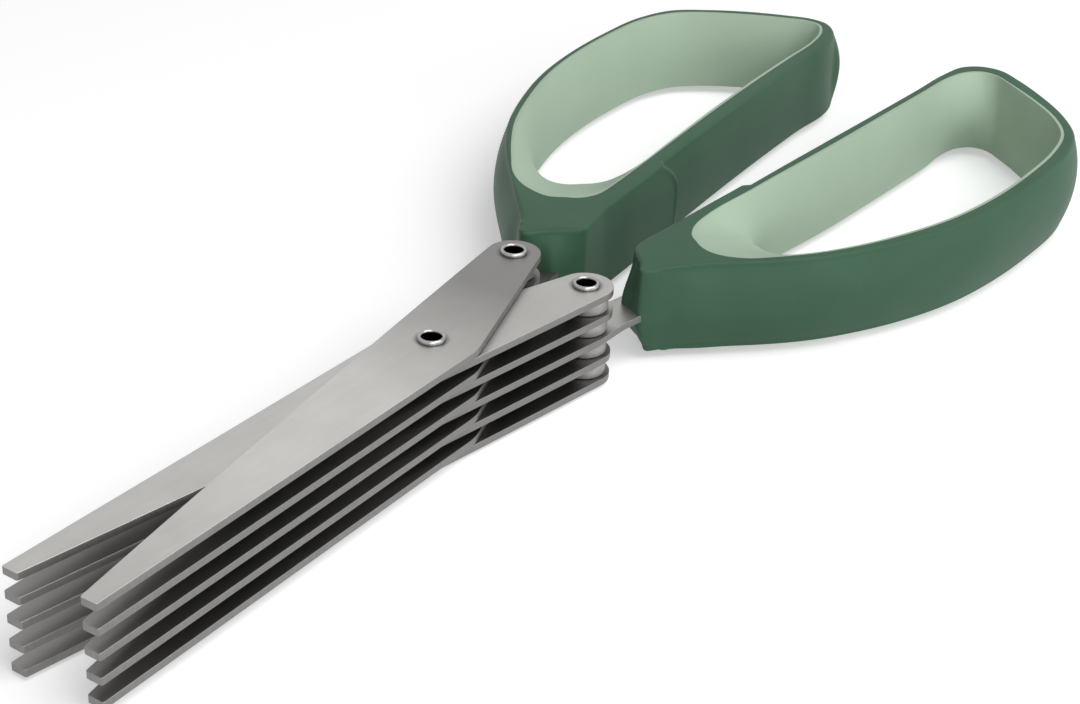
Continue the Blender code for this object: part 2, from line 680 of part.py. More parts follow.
def main():
    clear_scene()
    parts = new_collection("herb_scissors")
    cutters = new_collection("cutters")
    finishes = {
        "steel": new_material("brushed_steel", STEEL_COLOUR, 0.38, 1.0),
        "rim": new_material("bright_rivet_steel", RIM_COLOUR, 0.22, 1.0),
        "spacer": new_material("satin_spacer_steel", SPACER_COLOUR, 0.45, 1.0),
        "shell": new_material("dark_green_shell", SHELL_COLOUR, 0.45, 0.0),
        "liner": new_material("pale_green_liner", LINER_COLOUR, 0.6, 0.0),
    }
    root = new_empty("scissors", parts)
    upper_half = new_empty("upper_half", parts, root)
    lower_half = new_empty("lower_half", parts, root)
    build_half("upper", UPPER, finishes, upper_half, parts)
    build_half("lower", LOWER, finishes, lower_half, parts)
    build_pivot(finishes, lower_half, parts)
    small = (SMALL_LOOP_SHARES, SMALL_LOOP_SPREAD, SMALL_PAD_RISE, SMALL_PAD_END_X, UPPER)
    large = (LARGE_LOOP_SHARES, LARGE_LOOP_SPREAD, LARGE_PAD_RISE, LARGE_PAD_END_X, LOWER)
    build_handle("small", *small, finishes, upper_half, parts, cutters)
    build_handle("large", *large, finishes, lower_half, parts, cutters)
    centre_on_origin(root, parts)
    shade(parts)


main()
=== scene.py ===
"""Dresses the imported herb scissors: finer blades, rivets and moulded handles, studio, light and camera.

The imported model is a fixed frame, in metres, with +Z up along the pivot, the blade tips towards -X and the
small loop on the +Y side. Each CAD node is replaced by a finer piece of the same size in the same place,
built here from the same named values as the part's source.
"""

import logging
import math
from abc import ABC, abstractmethod
from contextlib import contextmanager
from dataclasses import dataclass, field
from enum import Enum
from functools import cached_property
from typing import Iterable, Iterator, Sequence

import bmesh
import bpy
import numpy as np
from mathutils import Matrix, Vector


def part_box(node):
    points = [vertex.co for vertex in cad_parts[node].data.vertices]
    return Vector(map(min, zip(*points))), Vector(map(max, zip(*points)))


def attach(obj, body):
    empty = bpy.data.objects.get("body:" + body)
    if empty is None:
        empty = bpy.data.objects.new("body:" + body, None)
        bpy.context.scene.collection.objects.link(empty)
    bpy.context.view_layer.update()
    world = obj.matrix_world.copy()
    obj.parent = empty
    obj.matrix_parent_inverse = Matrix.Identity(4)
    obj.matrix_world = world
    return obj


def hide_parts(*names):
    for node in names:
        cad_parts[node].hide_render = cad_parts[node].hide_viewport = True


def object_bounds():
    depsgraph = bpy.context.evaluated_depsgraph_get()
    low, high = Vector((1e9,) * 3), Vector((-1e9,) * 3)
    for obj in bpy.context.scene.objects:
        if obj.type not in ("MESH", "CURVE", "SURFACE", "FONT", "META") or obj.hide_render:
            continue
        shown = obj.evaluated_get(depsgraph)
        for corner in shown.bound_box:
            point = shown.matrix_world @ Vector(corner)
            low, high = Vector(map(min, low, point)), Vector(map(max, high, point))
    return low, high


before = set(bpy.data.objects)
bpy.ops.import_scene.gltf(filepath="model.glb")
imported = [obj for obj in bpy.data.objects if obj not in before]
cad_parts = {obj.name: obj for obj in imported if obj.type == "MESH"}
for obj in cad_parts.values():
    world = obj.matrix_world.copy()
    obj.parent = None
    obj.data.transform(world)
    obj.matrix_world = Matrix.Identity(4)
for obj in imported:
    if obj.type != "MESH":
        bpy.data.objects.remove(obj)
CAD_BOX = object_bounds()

log = logging.getLogger("herb_scissors")

Array = np.ndarray
Mesh = bpy.types.Mesh
Plan = tuple[float, float]
Run = tuple[float, float]
Colour = tuple[float, float, float, float]
SpokeTable = tuple[tuple[int, ...], ...]
Socket = bpy.types.NodeSocket
Signal = Socket | float
Inputs = dict[str | int, object]

SURFACE_SHADER = "Principled BSDF"
SPOKE_SCALE = 10000


class Body(Enum):
    """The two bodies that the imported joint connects."""

    LOWER = "lower_half"
    UPPER = "upper_half"

    @property
    def side(self) -> int:
        """Which way the half lies in plan: +1 is towards +Y."""
        return 1 if self is Body.UPPER else -1

    @property
    def prefix(self) -> str:
        """The word that the half's blade and rivet names start with."""
        return "upper" if self is Body.UPPER else "lower"


@dataclass(frozen=True)
class BladePlan:
    """The blade's named sizes in its own frame: x to the rear from the pivot, y to the cutting edge."""

    reach: float = 0.0649
    tip_width: float = 0.0023
    tip_rounding: float = 0.0003
    spine_offset: float = 0.0061
    neck_x: float = 0.0012
    neck_rounding: float = 0.0012
    rear_x: float = 0.0256
    rear_y: float = 0.0055
    rear_radius: float = 0.0036
    edge_crown: float = 0.00035
    half_turn: float = math.radians(0.67)
    thickness: float = 0.0010
    edge_break: float = 0.00007
    weld: float = 0.0000014
    running_gap: float = 0.00010
    pair_pitch: float = 0.00312
    pairs: int = 5
    tang_pair: int = 3
    tang_length: float = 0.0225
    tang_neck: float = 0.0050
    tang_width: float = 0.0056
    tang_rounding: float = 0.0012
    tang_turn: float = math.radians(10.0)


@dataclass(frozen=True)
class RivetPlan:
    """The hollow rivets, their spacers and the seats between them."""

    bore: float = 0.00125
    shank: float = 0.00150
    rim: float = 0.00180
    rim_height: float = 0.00050
    rim_power: float = 0.8
    radial_gap: float = 0.00008
    seat_gap: float = 0.00005
    spacer: float = 0.0030
    washer: float = 0.0029
    corner: float = 0.00012
    corner_share: float = 0.2


@dataclass(frozen=True)
class HandlePlan:
    """The moulded handles: sizes that both loops share."""

    clearance: float = 0.0032
    length: float = 0.0966
    height: float = 0.0130
    edge_rounding: float = 0.00065
    wall_bulge: float = 0.00109
    bow_bulge: float = 0.00170
    bow_bulge_x: float = 0.0520
    bow_bulge_run: float = 0.0140
    far_bulge: float = 0.00147
    far_flare: float = 0.0006
    far_reach: float = 0.0150
    far_run: float = 0.0120
    front_rake: float = 0.0021
    rake_run: float = 0.0090
    rim_rounding_share: float = 0.55
    bottom_inset: float = 0.0011
    far_inset: float = 0.0003
    least_swell: float = 0.0003
    rim_support: float = 0.00012
    liner_land: float = 0.0002
    liner_recess: float = 0.00004
    liner_gap: float = 0.0003
    liner_wall: float = 0.0012
    joint_line: float = 0.00001
    pad_end_run: float = 0.0013
    pad_end_bow: float = 0.0051
    pad_end_middle: float = 0.6
    pad_step: float = 0.00020
    pad_bead: float = 0.00024
    bead_width: float = 0.00042
    pad_fade_x: float = 0.0800
    pad_fade_run: float = 0.0400
    pad_facing: float = 0.85
    pad_fade: float = 0.10
    corner_share: float = 0.55
    corner_taper: float = 0.20
    corner_ease: float = 0.0016
    corner_front_run: float = 0.0030
    corner_wall_run: float = 0.0065
    corner_wall_from: float = 0.0015
    corner_pin: float = 0.0050
    front_bulge: float = 0.0013
    front_reach: float = 0.0023
    support_share: float = 0.25


@dataclass(frozen=True)
class CameraPlan:
    """The camera solved from the photograph, aimed past the pivot rivet's top face.

    Its focal length and the pivot's place right of and above the picture's centre are in pixels of the
    photograph, and its sensor is in millimetres.
    """

    azimuth: float = math.radians(-146.249415)
    elevation: float = math.radians(29.324302)
    roll: float = math.radians(2.308543)
    distance: float = 0.28186513
    focal: float = 2297.3333
    frame_width: float = 1080.0
    sensor: float = 36.0
    pivot_right: float = -108.496873
    pivot_up: float = 12.849978
    nearest: float = 0.01
    farthest: float = 20.0


@dataclass(frozen=True)
class LoopPlan:
    """What one handle has of its own: the spokes of its loop, its spread, its stop pad and its corner."""

    prefix: str
    body: Body
    spokes: SpokeTable
    spread: float
    pad_rise: float
    pad_end: float
    pointed: bool = False


BLADE = BladePlan()
RIVET = RivetPlan()
HANDLE = HandlePlan()
CAMERA = CameraPlan()

# Outlines of the two loops, in ten-thousandths. Each row is one spoke from the outside to the finger hole
# and holds three places: the outer edge of the rim, the edge of the liner and the throat of the hole at
# mid height. Each place is x as a share of the handle's reach and y as a share of the loop's spread.
LARGE_SPOKES: SpokeTable = (
    (549, 1375, 1304, 2725, 2681, 3599),
    (663, 1247, 1398, 2416, 2712, 3342),
    (1449, 1285, 1667, 2057, 2785, 3033),
    (2236, 1388, 2195, 1902, 3002, 2802),
    (3251, 1548, 3240, 2069, 3561, 2699),
    (3540, 1584, 3530, 2108, 3768, 2699),
    (5445, 1864, 5445, 2442, 5435, 2931),
    (6998, 2198, 6998, 2648, 6977, 3111),
    (8344, 2476, 8292, 2828, 8219, 3290),
    (9203, 2596, 9089, 2956, 8882, 3573),
    (9669, 2853, 9493, 3290, 9234, 3907),
    (9896, 3470, 9669, 3779, 9410, 4242),
    (9948, 4293, 9679, 4344, 9472, 4679),
    (9741, 5347, 9493, 5219, 9337, 5347),
    (9317, 6915, 9110, 6735, 8954, 6581),
    (8851, 8252, 8665, 8098, 8540, 7789),
    (8271, 9357, 8157, 9023, 8064, 8663),
    (7474, 9923, 7412, 9460, 7360, 9023),
    (6491, 10000, 6491, 9563, 6511, 9100),
    (5342, 9846, 5393, 9460, 5455, 8972),
    (4244, 9383, 4306, 9023, 4420, 8560),
    (3240, 8509, 3323, 8201, 3478, 7763),
    (2567, 7661, 2681, 7455, 3043, 6941),
    (1925, 6607, 2070, 6530, 2795, 6067),
    (1366, 5347, 1605, 5553, 2681, 5373),
    (849, 3985, 1304, 4807, 2640, 4833),
    (404, 3111, 1180, 4216, 2619, 4473),
    (114, 2674, 1139, 3779, 2609, 4242),
    (41, 2468, 1149, 3419, 2619, 4036),
    (259, 2057, 1211, 3033, 2640, 3830),
)
SMALL_SPOKES: SpokeTable = (
    (476, 1186, 1325, 2639, 2867, 3995),
    (600, 981, 1429, 2252, 2950, 3850),
    (1429, 1138, 1708, 1913, 3054, 3680),
    (1832, 1211, 1946, 1889, 3126, 3559),
    (2236, 1283, 2236, 1925, 3219, 3438),
    (2598, 1366, 2588, 1985, 3354, 3293),
    (3147, 1477, 3137, 2094, 3623, 3087),
    (3768, 1598, 3768, 2228, 3965, 2918),
    (5445, 1930, 5445, 2567, 5445, 3027),
    (6998, 2228, 6998, 2809, 6998, 3245),
    (8240, 2421, 8157, 2930, 8095, 3390),
    (9172, 2506, 9068, 3027, 8903, 3487),
    (9669, 2930, 9565, 3341, 9348, 3729),
    (9959, 3632, 9814, 3801, 9586, 4044),
    (9990, 4358, 9834, 4358, 9627, 4455),
    (9845, 5327, 9689, 5278, 9472, 5230),
    (9524, 6925, 9369, 6804, 9151, 6707),
    (9141, 8257, 9006, 8136, 8841, 7869),
    (8758, 9274, 8654, 9031, 8489, 8644),
    (8116, 9855, 8054, 9613, 7992, 9177),
    (7133, 10000, 7133, 9782, 7133, 9322),
    (5994, 9903, 6035, 9685, 6077, 9249),
    (4917, 9516, 4990, 9298, 5072, 8862),
    (3861, 8741, 3965, 8547, 4089, 8136),
    (2961, 7797, 3043, 7627, 3240, 7119),
    (2402, 6925, 2484, 6828, 2899, 6368),
    (1843, 5908, 1946, 5932, 2640, 5666),
    (1325, 4843, 1532, 5157, 2547, 5109),
    (787, 3753, 1294, 4358, 2557, 4722),
    (352, 2881, 1211, 3753, 2619, 4479),
    (52, 2470, 1190, 3366, 2681, 4334),
    (0, 2252, 1201, 3123, 2743, 4213),
    (217, 1816, 1253, 2881, 2805, 4116),
)

SMALL_LOOP = LoopPlan(
    "small", Body.UPPER, SMALL_SPOKES, spread=0.0413, pad_rise=0.0005, pad_end=0.0632, pointed=True
)
LARGE_LOOP = LoopPlan("large", Body.LOWER, LARGE_SPOKES, spread=0.0389, pad_rise=0.0008, pad_end=0.0643)

# How finely the surfaces are drawn.
SPAN_STEPS = 32
STATION_STRIDE = 4
SOFTENING_PASSES = 60
CIRCLE_STEPS = 72
ARC_STEPS = 28
BEND_STEPS = 7
CROWN_STEPS = 20
RIM_STEPS = 17
COLLAR_STEPS = 5
WALL_STEPS = 47
FILLET_STEPS = 7
LINER_STEPS = 25
FLOOR_STEPS = 96
BEVEL_STEPS = 2

# Between which values most of a noise lies.
NOISE_RUN: Run = (0.3, 0.7)

# Where a surface counts as bent, level or sharp.
LEAST_BEND = 1.0
CORNER_TURN = math.radians(1.0)
LEVEL_FACE = 0.995
LEVEL_REACH = 1e-6
BLADE_CREASE = math.radians(50)
TURNED_CREASE = math.radians(40)
MOULDED_CREASE = math.radians(45)

STACK_HEIGHT = (BLADE.pairs - 1) * BLADE.pair_pitch + 2 * BLADE.thickness + BLADE.running_gap
RIM_SEAT = RIVET.rim_height + RIVET.seat_gap
STACK_TOP = RIM_SEAT + STACK_HEIGHT
STACK_MIDDLE = RIM_SEAT + STACK_HEIGHT / 2


def unit(direction: Array) -> Array:
    """Divides a direction, or each row of directions, by the root of the sum of its squares."""
    return direction / np.linalg.norm(direction, axis=-1, keepdims=True)


def smooth_step(value: Array | float) -> Array:
    """Rises from 0 to 1 with level ends: three times the square less twice the cube."""
    value = np.clip(value, 0, 1)
    return value * value * (3 - 2 * value)


def arc(centre: Plan, radius: float, first: float, last: float, steps: int) -> list[Plan]:
    """Lists points on a circle: its centre plus the radius times the cosine and the sine of each angle."""
    return [
        (centre[0] + radius * math.cos(turn), centre[1] + radius * math.sin(turn))
        for turn in np.linspace(first, last, steps)
    ]


def full_circle(centre: Plan, radius: float) -> list[Plan]:
    """Lists a whole circle once round, without its first point again at the end."""
    return arc(centre, radius, 0, 2 * math.pi * (1 - 1 / CIRCLE_STEPS), CIRCLE_STEPS)


def tangent_point(start: Plan, centre: Plan, radius: float, side: int) -> Plan:
    """Finds where a line from a point touches a circle.

    Args:
        start: Where the line starts.
        centre: The circle's centre.
        radius: Its radius.
        side: +1 for the touch on the left of the circle seen along the line, -1 for the right.

    Returns:
        The touching point. The run to it is the root of distance squared less radius squared.
    """
    across = np.subtract(centre, start)
    distance = np.hypot(*across)
    lean = math.atan2(across[1], across[0]) + side * math.asin(radius / distance)
    run = math.sqrt(distance**2 - radius**2)
    return (start[0] + run * math.cos(lean), start[1] + run * math.sin(lean))


def rounded_corner(corner: Plan, before: Plan, after: Plan, reach: float) -> list[Plan]:
    """Replaces a corner by a short curve.

    Args:
        corner: The sharp corner.
        before: The point before it.
        after: The point after it.
        reach: How far from the corner the curve starts and ends.

    Returns:
        Points of a quadratic curve: (1-s) squared of the near point, 2s(1-s) of the corner and s squared
        of the far point.
    """
    corner, before, after = map(np.asarray, (corner, before, after))
    near = corner + unit(before - corner) * reach
    far = corner + unit(after - corner) * reach
    shares = np.linspace(0, 1, BEND_STEPS)[:, None]
    curve = (1 - shares) ** 2 * near + 2 * shares * (1 - shares) * corner + shares**2 * far
    return [tuple(point) for point in curve]


def closed_curve(points: Array) -> Array:
    """Draws a smooth closed curve through points.

    Args:
        points: One point to a row, in order round the curve.

    Returns:
        Stations of a cubic in each span, whose slope at a point is the mean of the slopes of its two
        spans, each weighted by the length of the other.
    """
    before, after = np.roll(points, 1, axis=0), np.roll(points, -1, axis=0)
    gap = np.linalg.norm(after - points, axis=1, keepdims=True)
    gap_before = np.roll(gap, 1, axis=0)
    slope = ((after - points) / gap * gap_before + (points - before) / gap_before * gap) / (gap + gap_before)
    slope_after = np.roll(slope, -1, axis=0)
    stations = []
    for share in np.arange(SPAN_STEPS) / SPAN_STEPS:
        rise = share * share * (3 - 2 * share)
        leave = share * (1 - share) ** 2
        arrive = share * share * (1 - share)
        stations.append(points * (1 - rise) + after * rise + gap * (slope * leave - slope_after * arrive))
    return np.stack(stations, axis=1).reshape(-1, 2)


def pointed(curve: Array, corner: Array) -> tuple[Array, Array]:
    """Brings a rounded corner of a closed curve to the point where its two sides meet.

    Args:
        curve: The curve's stations.
        corner: A point at the corner, from which the rounding reaches its own way to either side.

    Returns:
        The stations, those of the rounding now spread along both sides, and the point. It is where the
        two sides' directions at the ends of the rounding cross.
    """
    shift = len(curve) // 2 - int(np.argmin(np.linalg.norm(curve - corner, axis=1)))
    turned = np.roll(curve, shift, axis=0)
    on_wall = turned[:, 0] > corner[0] + HANDLE.corner_wall_from
    run = np.where(on_wall, HANDLE.corner_wall_run, HANDLE.corner_front_run)
    near = np.flatnonzero(np.linalg.norm(turned - corner, axis=1) < run)
    first, last = near[0], near[-1]
    start, end = turned[first], turned[last]
    onward, backward = start - turned[first - 1], end - turned[last + 1]
    share = np.linalg.solve(np.column_stack([onward, -backward]), end - start)
    point = start + onward * share[0]
    lengths = np.cumsum([0.0, np.linalg.norm(point - start), np.linalg.norm(end - point)])
    runs = np.linspace(0.0, lengths[-1], last - first + 1)
    sides = np.stack([start, point, end])
    turned[first:last + 1] = np.column_stack([np.interp(runs, lengths, column) for column in sides.T])
    return np.roll(turned, -shift, axis=0), point


def nearest(curve: Array, corners: Sequence[Array]) -> Array:
    """Distance of each station of a curve from the nearer of some corners."""
    return np.min([np.linalg.norm(curve - corner, axis=1) for corner in corners], axis=0)


def softened(values: Array) -> Array:
    """Evens out a closed row of values or points.

    Args:
        values: The values, in order round the closed row.

    Returns:
        The row after some passes, in each of which a value becomes half of itself and a quarter of
        either neighbour.
    """
    for _ in range(SOFTENING_PASSES):
        values = values / 2 + (np.roll(values, 1, axis=0) + np.roll(values, -1, axis=0)) / 4
    return values


def blade_top(side: int, pair: int) -> float:
    """Height of a blade's upper face. Pairs are counted from the top."""
    top = STACK_TOP - (pair - 1) * BLADE.pair_pitch
    return top if side > 0 else top - BLADE.thickness - BLADE.running_gap


def ring_at(plan: Array, height: float) -> Array:
    """A level ring: places in plan, all at one height."""
    return np.column_stack([plan, np.full(len(plan), height)])


def bell(distance: Array, reach: float) -> Array:
    """Falls from 1 at no distance to nearly 0 past the reach: e to minus the square of their ratio."""
    return np.exp(-((distance / reach) ** 2))


def beyond(start: float, run: Run) -> Run:
    """The two places that lie each of a run's distances beyond a start."""
    return start + run[0], start + run[1]


@dataclass(frozen=True)
class Grain:
    """Noise stretched along the object's axes.

    Its scale is in cycles per metre along x, y and z, its detail in octaves, and rough is how strong the
    finer octaves are.
    """

    scale: tuple[float, float, float]
    detail: float
    rough: float


class Nodes:
    """A short way to write the node tree of a material or a world."""

    def __init__(self, owner: bpy.types.Material | bpy.types.World):
        owner.use_nodes = True
        self.tree = owner.node_tree

    @cached_property
    def place(self) -> Socket:
        """The object's own coordinates."""
        return self.new("TexCoord", {}).outputs["Object"]

    def fill(self, name: str, inputs: Inputs) -> bpy.types.Node:
        """Fills inputs of a node that the tree has from the start."""
        return self.feed(self.tree.nodes[name], inputs)

    def new(self, kind: str, inputs: Inputs, **settings: str) -> bpy.types.Node:
        """Adds a node.

        Args:
            kind: The last part of the node's type name.
            inputs: What its inputs get.
            settings: Its own settings, such as a sum's operation.

        Returns:
            The node.
        """
        made = self.tree.nodes.new(f"ShaderNode{kind}")
        for name, value in settings.items():
            setattr(made, name, value)
        return self.feed(made, inputs)

    def feed(self, node: bpy.types.Node, inputs: Inputs) -> bpy.types.Node:
        """Gives each input named either a link or a plain value, and returns the node."""
        for key, value in inputs.items():
            if isinstance(value, Socket):
                self.tree.links.new(value, node.inputs[key])
            else:
                node.inputs[key].default_value = value
        return node

    def noise(self, grain: Grain) -> Socket:
        """Noise of a grain, from 0 to 1."""
        mapping = self.new("Mapping", {"Vector": self.place, "Scale": grain.scale})
        return self.noise_at(mapping.outputs["Vector"], grain.detail, grain.rough)

    def noise_at(self, place: Socket, detail: float, rough: float = 0.5) -> Socket:
        """Noise of one cycle to each step of a place, from 0 to 1."""
        inputs = {"Vector": place, "Scale": 1.0, "Detail": detail, "Roughness": rough}
        return self.new("TexNoise", inputs).outputs["Fac"]

    def math(self, kind: str, *values: Signal) -> Socket:
        """A sum of the given kind on numbers or links."""
        return self.new("Math", dict(enumerate(values)), operation=kind).outputs[0]

    def mixture(self, signals: Iterable[Socket], shares: Iterable[float]) -> Socket:
        """Adds up some signals, each times its share."""
        total: Signal = 0.0
        for signal, share in zip(signals, shares):
            total = self.math("MULTIPLY_ADD", signal, share, total)
        return total

    def span(
        self, value: Signal, low: float, high: float, to_low: float = 0.0, to_high: float = 1.0
    ) -> Socket:
        """Maps a value from one range to another and clips it there."""
        ends = {"Value": value, "From Min": low, "From Max": high, "To Min": to_low, "To Max": to_high}
        return self.new("MapRange", ends).outputs["Result"]

    def blend(self, share: Signal, first: Socket | Colour, second: Socket | Colour) -> Socket:
        """Mixes two colours by a share."""
        mix = {"Factor": share, "A": first, "B": second}
        return self.new("Mix", mix, data_type="RGBA").outputs["Result"]

    def axis(self, source: Socket, name: str) -> Socket:
        """One component of a vector output."""
        return self.new("SeparateXYZ", {0: source}).outputs[name]

    def facing_up(self) -> Socket:
        """How level the surface is, from 0 on a side to 1 on a top or bottom face."""
        normal = self.new("NewGeometry", {}).outputs["Normal"]
        return self.math("ABSOLUTE", self.axis(normal, "Z"))

    def distance(self, centre: Plan) -> Socket:
        """Distance in plan from an upright line."""
        across = self.math("SUBTRACT", self.axis(self.place, "X"), centre[0])
        along = self.math("SUBTRACT", self.axis(self.place, "Y"), centre[1])
        squares = self.math("ADD", self.math("POWER", across, 2.0), self.math("POWER", along, 2.0))
        return self.math("SQRT", squares)

    def bump(self, height: Socket, strength: float, depth: float, below: Inputs | None = None) -> Inputs:
        """Bump from a height.

        Args:
            height: The height signal.
            strength: Share of the full effect.
            depth: Metres between heights 0 and 1.
            below: A bump that this one lies on.

        Returns:
            The Normal input that a shader or another bump gets.
        """
        inputs = {"Height": height, "Strength": strength, "Distance": depth, **(below or {})}
        return {"Normal": self.new("Bump", inputs).outputs["Normal"]}


@dataclass(frozen=True)
class Finish(ABC):
    """A surface finish: a name, a slot, which is not used, and two near tones of one colour."""

    name: str
    slot: str
    light: Colour
    dark: Colour

    @abstractmethod
    def paint(self, nodes: Nodes) -> Inputs:
        """Builds the finish's nodes and returns what the surface shader's inputs get."""

    def material(self) -> bpy.types.Material:
        """The finish as a material, made once."""
        if self.name in bpy.data.materials:
            return bpy.data.materials[self.name]
        made = bpy.data.materials.new(self.name)
        nodes = Nodes(made)
        nodes.fill(SURFACE_SHADER, self.paint(nodes))
        made.diffuse_color = self.light
        return made


@dataclass(frozen=True)
class SatinSteel(Finish):
    """Rolled and satin-ground blade steel: lengthwise lines, duller sheared sides and painted shadow rings
    round the rivet seats.

    The faces inside the stack carry painted shade, a dark tone from behind the blade tips to the rear rivet,
    and the steel carries painted shade towards its handled rear end and a darker tone a little at its tips.
    Each run is a pair of values
    between which an effect sets in: distances from the tips, the rear rivet or a seat, or values of a
    signal. Each bump is its strength and its depth.
    """

    side_tone: Colour = (0.215, 0.211, 0.203, 1.0)
    # Painted shadow: a dark ring round each rivet rim.
    rim_shadow: Colour = (0.10, 0.10, 0.095, 1.0)
    # Painted shade: a dark tone on the faces between the blades and at the rear end, also used for the darker
    # tips.
    shade_tone: Colour = (0.075, 0.072, 0.067, 1.0)
    shade_top: float = 0.0
    shade_fade: float = 0.0004
    shade_share: float = 0.80
    shade_run: Run = (-0.002, 0.012)
    shade_at_tips: float = 0.6
    shade_stop: float = 0.003
    tips: float = 0.0
    rear: float = 0.0
    # Painted shade towards the rear end, and a darker tone towards the tips.
    rear_run: Run = (-0.040, -0.010)
    rear_shade: float = 0.0
    tip_run: Run = (0.028, 0.004)
    tip_darkening: float = 0.0
    seats: tuple[Plan, ...] = ()
    rim_shadow_run: Run = (0.0024, 0.00185)
    rim_shadow_share: float = 0.75
    level_run: Run = (0.55, 0.85)
    rough: Run = (0.36, 0.46)
    side_rough: float = 0.06
    tone_shares: tuple[float, ...] = (0.35, 0.25, 0.40)
    tone_run: Run = (0.38, 0.62)
    torn_run: Run = (0.35, 0.7)
    torn_share: float = 0.10
    line_bump: Run = (0.35, 0.000012)
    band_bump: Run = (0.25, 0.00002)

    def painted_gap_shade(self, nodes: Nodes, along: Socket) -> Socket:
        """How much painted shade lies here, between the blades: none on the top face, less at the tips, none
        past the rear rivet.
        """
        height = nodes.axis(nodes.place, "Z")
        hidden = nodes.span(height, self.shade_top, self.shade_top - self.shade_fade, 0.0, self.shade_share)
        begun = nodes.span(along, *beyond(self.tips, self.shade_run), self.shade_at_tips, 1.0)
        ended = nodes.span(along, self.rear + self.shade_stop, self.rear)
        return nodes.math("MULTIPLY", hidden, nodes.math("MULTIPLY", begun, ended))

    def darkening_along(self, nodes: Nodes, along: Socket) -> Socket:
        """How much painted shade darkens the steel towards its rear end, or how much darker it is towards its
        tips, whichever is more.
        """
        rear = nodes.span(along, *beyond(self.rear, self.rear_run), 0.0, self.rear_shade)
        front = nodes.span(along, *beyond(self.tips, self.tip_run), 0.0, self.tip_darkening)
        return nodes.math("MAXIMUM", rear, front)

    def paint(self, nodes: Nodes) -> Inputs:
        """Ground lines, bands and clouds, under painted shade between the blades and towards the rear end, a
        darker tone towards the tips and painted shadow rings round the rivet seats.
        """
        fine, broad, cloud = nodes.noise(GROUND_LINES), nodes.noise(GROUND_BANDS), nodes.noise(CLOUDS)
        tone = nodes.mixture((fine, broad, cloud), self.tone_shares)
        face = nodes.blend(nodes.span(tone, *self.tone_run), self.dark, self.light)
        along = nodes.axis(nodes.place, "X")
        # Painted shade on the faces between the blades.
        face = nodes.blend(self.painted_gap_shade(nodes, along), face, self.shade_tone)
        # Painted shade towards the rear end, and darker tips.
        face = nodes.blend(self.darkening_along(nodes, along), face, self.shade_tone)
        level = nodes.span(nodes.facing_up(), *self.level_run)
        torn = nodes.span(nodes.noise(SHEARED), *self.torn_run, 0.0, self.torn_share)
        colour = nodes.blend(level, nodes.blend(torn, self.side_tone, self.dark), face)
        # Painted shadow rings round the rivet rims.
        for seat in self.seats:
            ring = nodes.span(nodes.distance(seat), *self.rim_shadow_run, 0.0, self.rim_shadow_share)
            colour = nodes.blend(ring, colour, self.rim_shadow)
        ground = nodes.span(fine, *NOISE_RUN, *self.rough)
        rough = nodes.math("ADD", ground, nodes.span(level, 0.0, 1.0, self.side_rough, 0.0))
        lines = nodes.bump(fine, *self.line_bump)
        bands = nodes.bump(broad, *self.band_bump, lines)
        return {"Base Color": colour, "Metallic": 1.0, "Roughness": rough, **bands}


@dataclass(frozen=True)
class TurnedSteel(Finish):
    """Bright or satin steel with rings about its own axis and painted shade in the bore."""

    rough: Run = (0.18, 0.30)
    # Painted shade inside the rivet bore.
    bore_shade_run: Run = (0.00134, 0.00128)
    bore_shade: Colour = (0.07, 0.068, 0.064, 1.0)
    scuff_run: Run = (0.35, 0.7)
    ring_pitch: Run = (16000.0, 9000.0)
    ring_detail: float = 2.0
    ring_bump: Run = (0.25, 0.000008)
    axes: tuple[Plan, ...] = ()

    def paint(self, nodes: Nodes) -> Inputs:
        """Scuffs on the outside, painted shade in the bore and turned rings."""
        away = nodes.distance(self.axes[0])
        for axis in self.axes[1:]:
            away = nodes.math("MINIMUM", away, nodes.distance(axis))
        scuffs = nodes.noise(SCUFFS)
        colour = nodes.blend(nodes.span(scuffs, *self.scuff_run), self.light, self.dark)
        # Painted shade in the bore.
        colour = nodes.blend(nodes.span(away, *self.bore_shade_run), colour, self.bore_shade)
        rough = nodes.span(scuffs, *NOISE_RUN, *self.rough)
        rings = nodes.bump(self.rings(nodes, away), *self.ring_bump)
        return {"Base Color": colour, "Metallic": 1.0, "Roughness": rough, **rings}

    def rings(self, nodes: Nodes, away: Socket) -> Socket:
        """Fine rings: noise read at the distance from the axis and at the height, each times its pitch."""
        height = nodes.axis(nodes.place, "Z")
        outward, upward = (nodes.math("MULTIPLY", *pair) for pair in zip((away, height), self.ring_pitch))
        joined = nodes.new("CombineXYZ", {"X": outward, "Y": upward})
        return nodes.noise_at(joined.outputs[0], self.ring_detail)


@dataclass(frozen=True)
class MouldedPlastic(Finish):
    """Moulded plastic or soft rubber with a fine spark-eroded grain and faint drifts of tone."""

    rough: Run = (0.42, 0.52)
    grain: float = 5200.0
    grain_detail: Run = (2.0, 0.55)
    grain_bump: Run = (0.35, 0.000012)
    ripple_bump: Run = (0.2, 0.00004)
    tone_shares: tuple[float, ...] = (0.75, 0.25)
    tone_run: Run = (0.34, 0.66)
    gloss: float = 0.28

    def paint(self, nodes: Nodes) -> Inputs:
        """Grain and drifts of tone, on a surface that ripples a little."""
        grain = nodes.noise(Grain((self.grain,) * 3, *self.grain_detail))
        share = nodes.mixture((nodes.noise(TONE_DRIFT), grain), self.tone_shares)
        even = nodes.bump(grain, *self.grain_bump)
        return {
            "Base Color": nodes.blend(nodes.span(share, *self.tone_run), self.dark, self.light),
            "Roughness": nodes.span(grain, *NOISE_RUN, *self.rough),
            "Specular IOR Level": self.gloss,
            **nodes.bump(nodes.noise(MOULD_FLOW), *self.ripple_bump, even),
        }


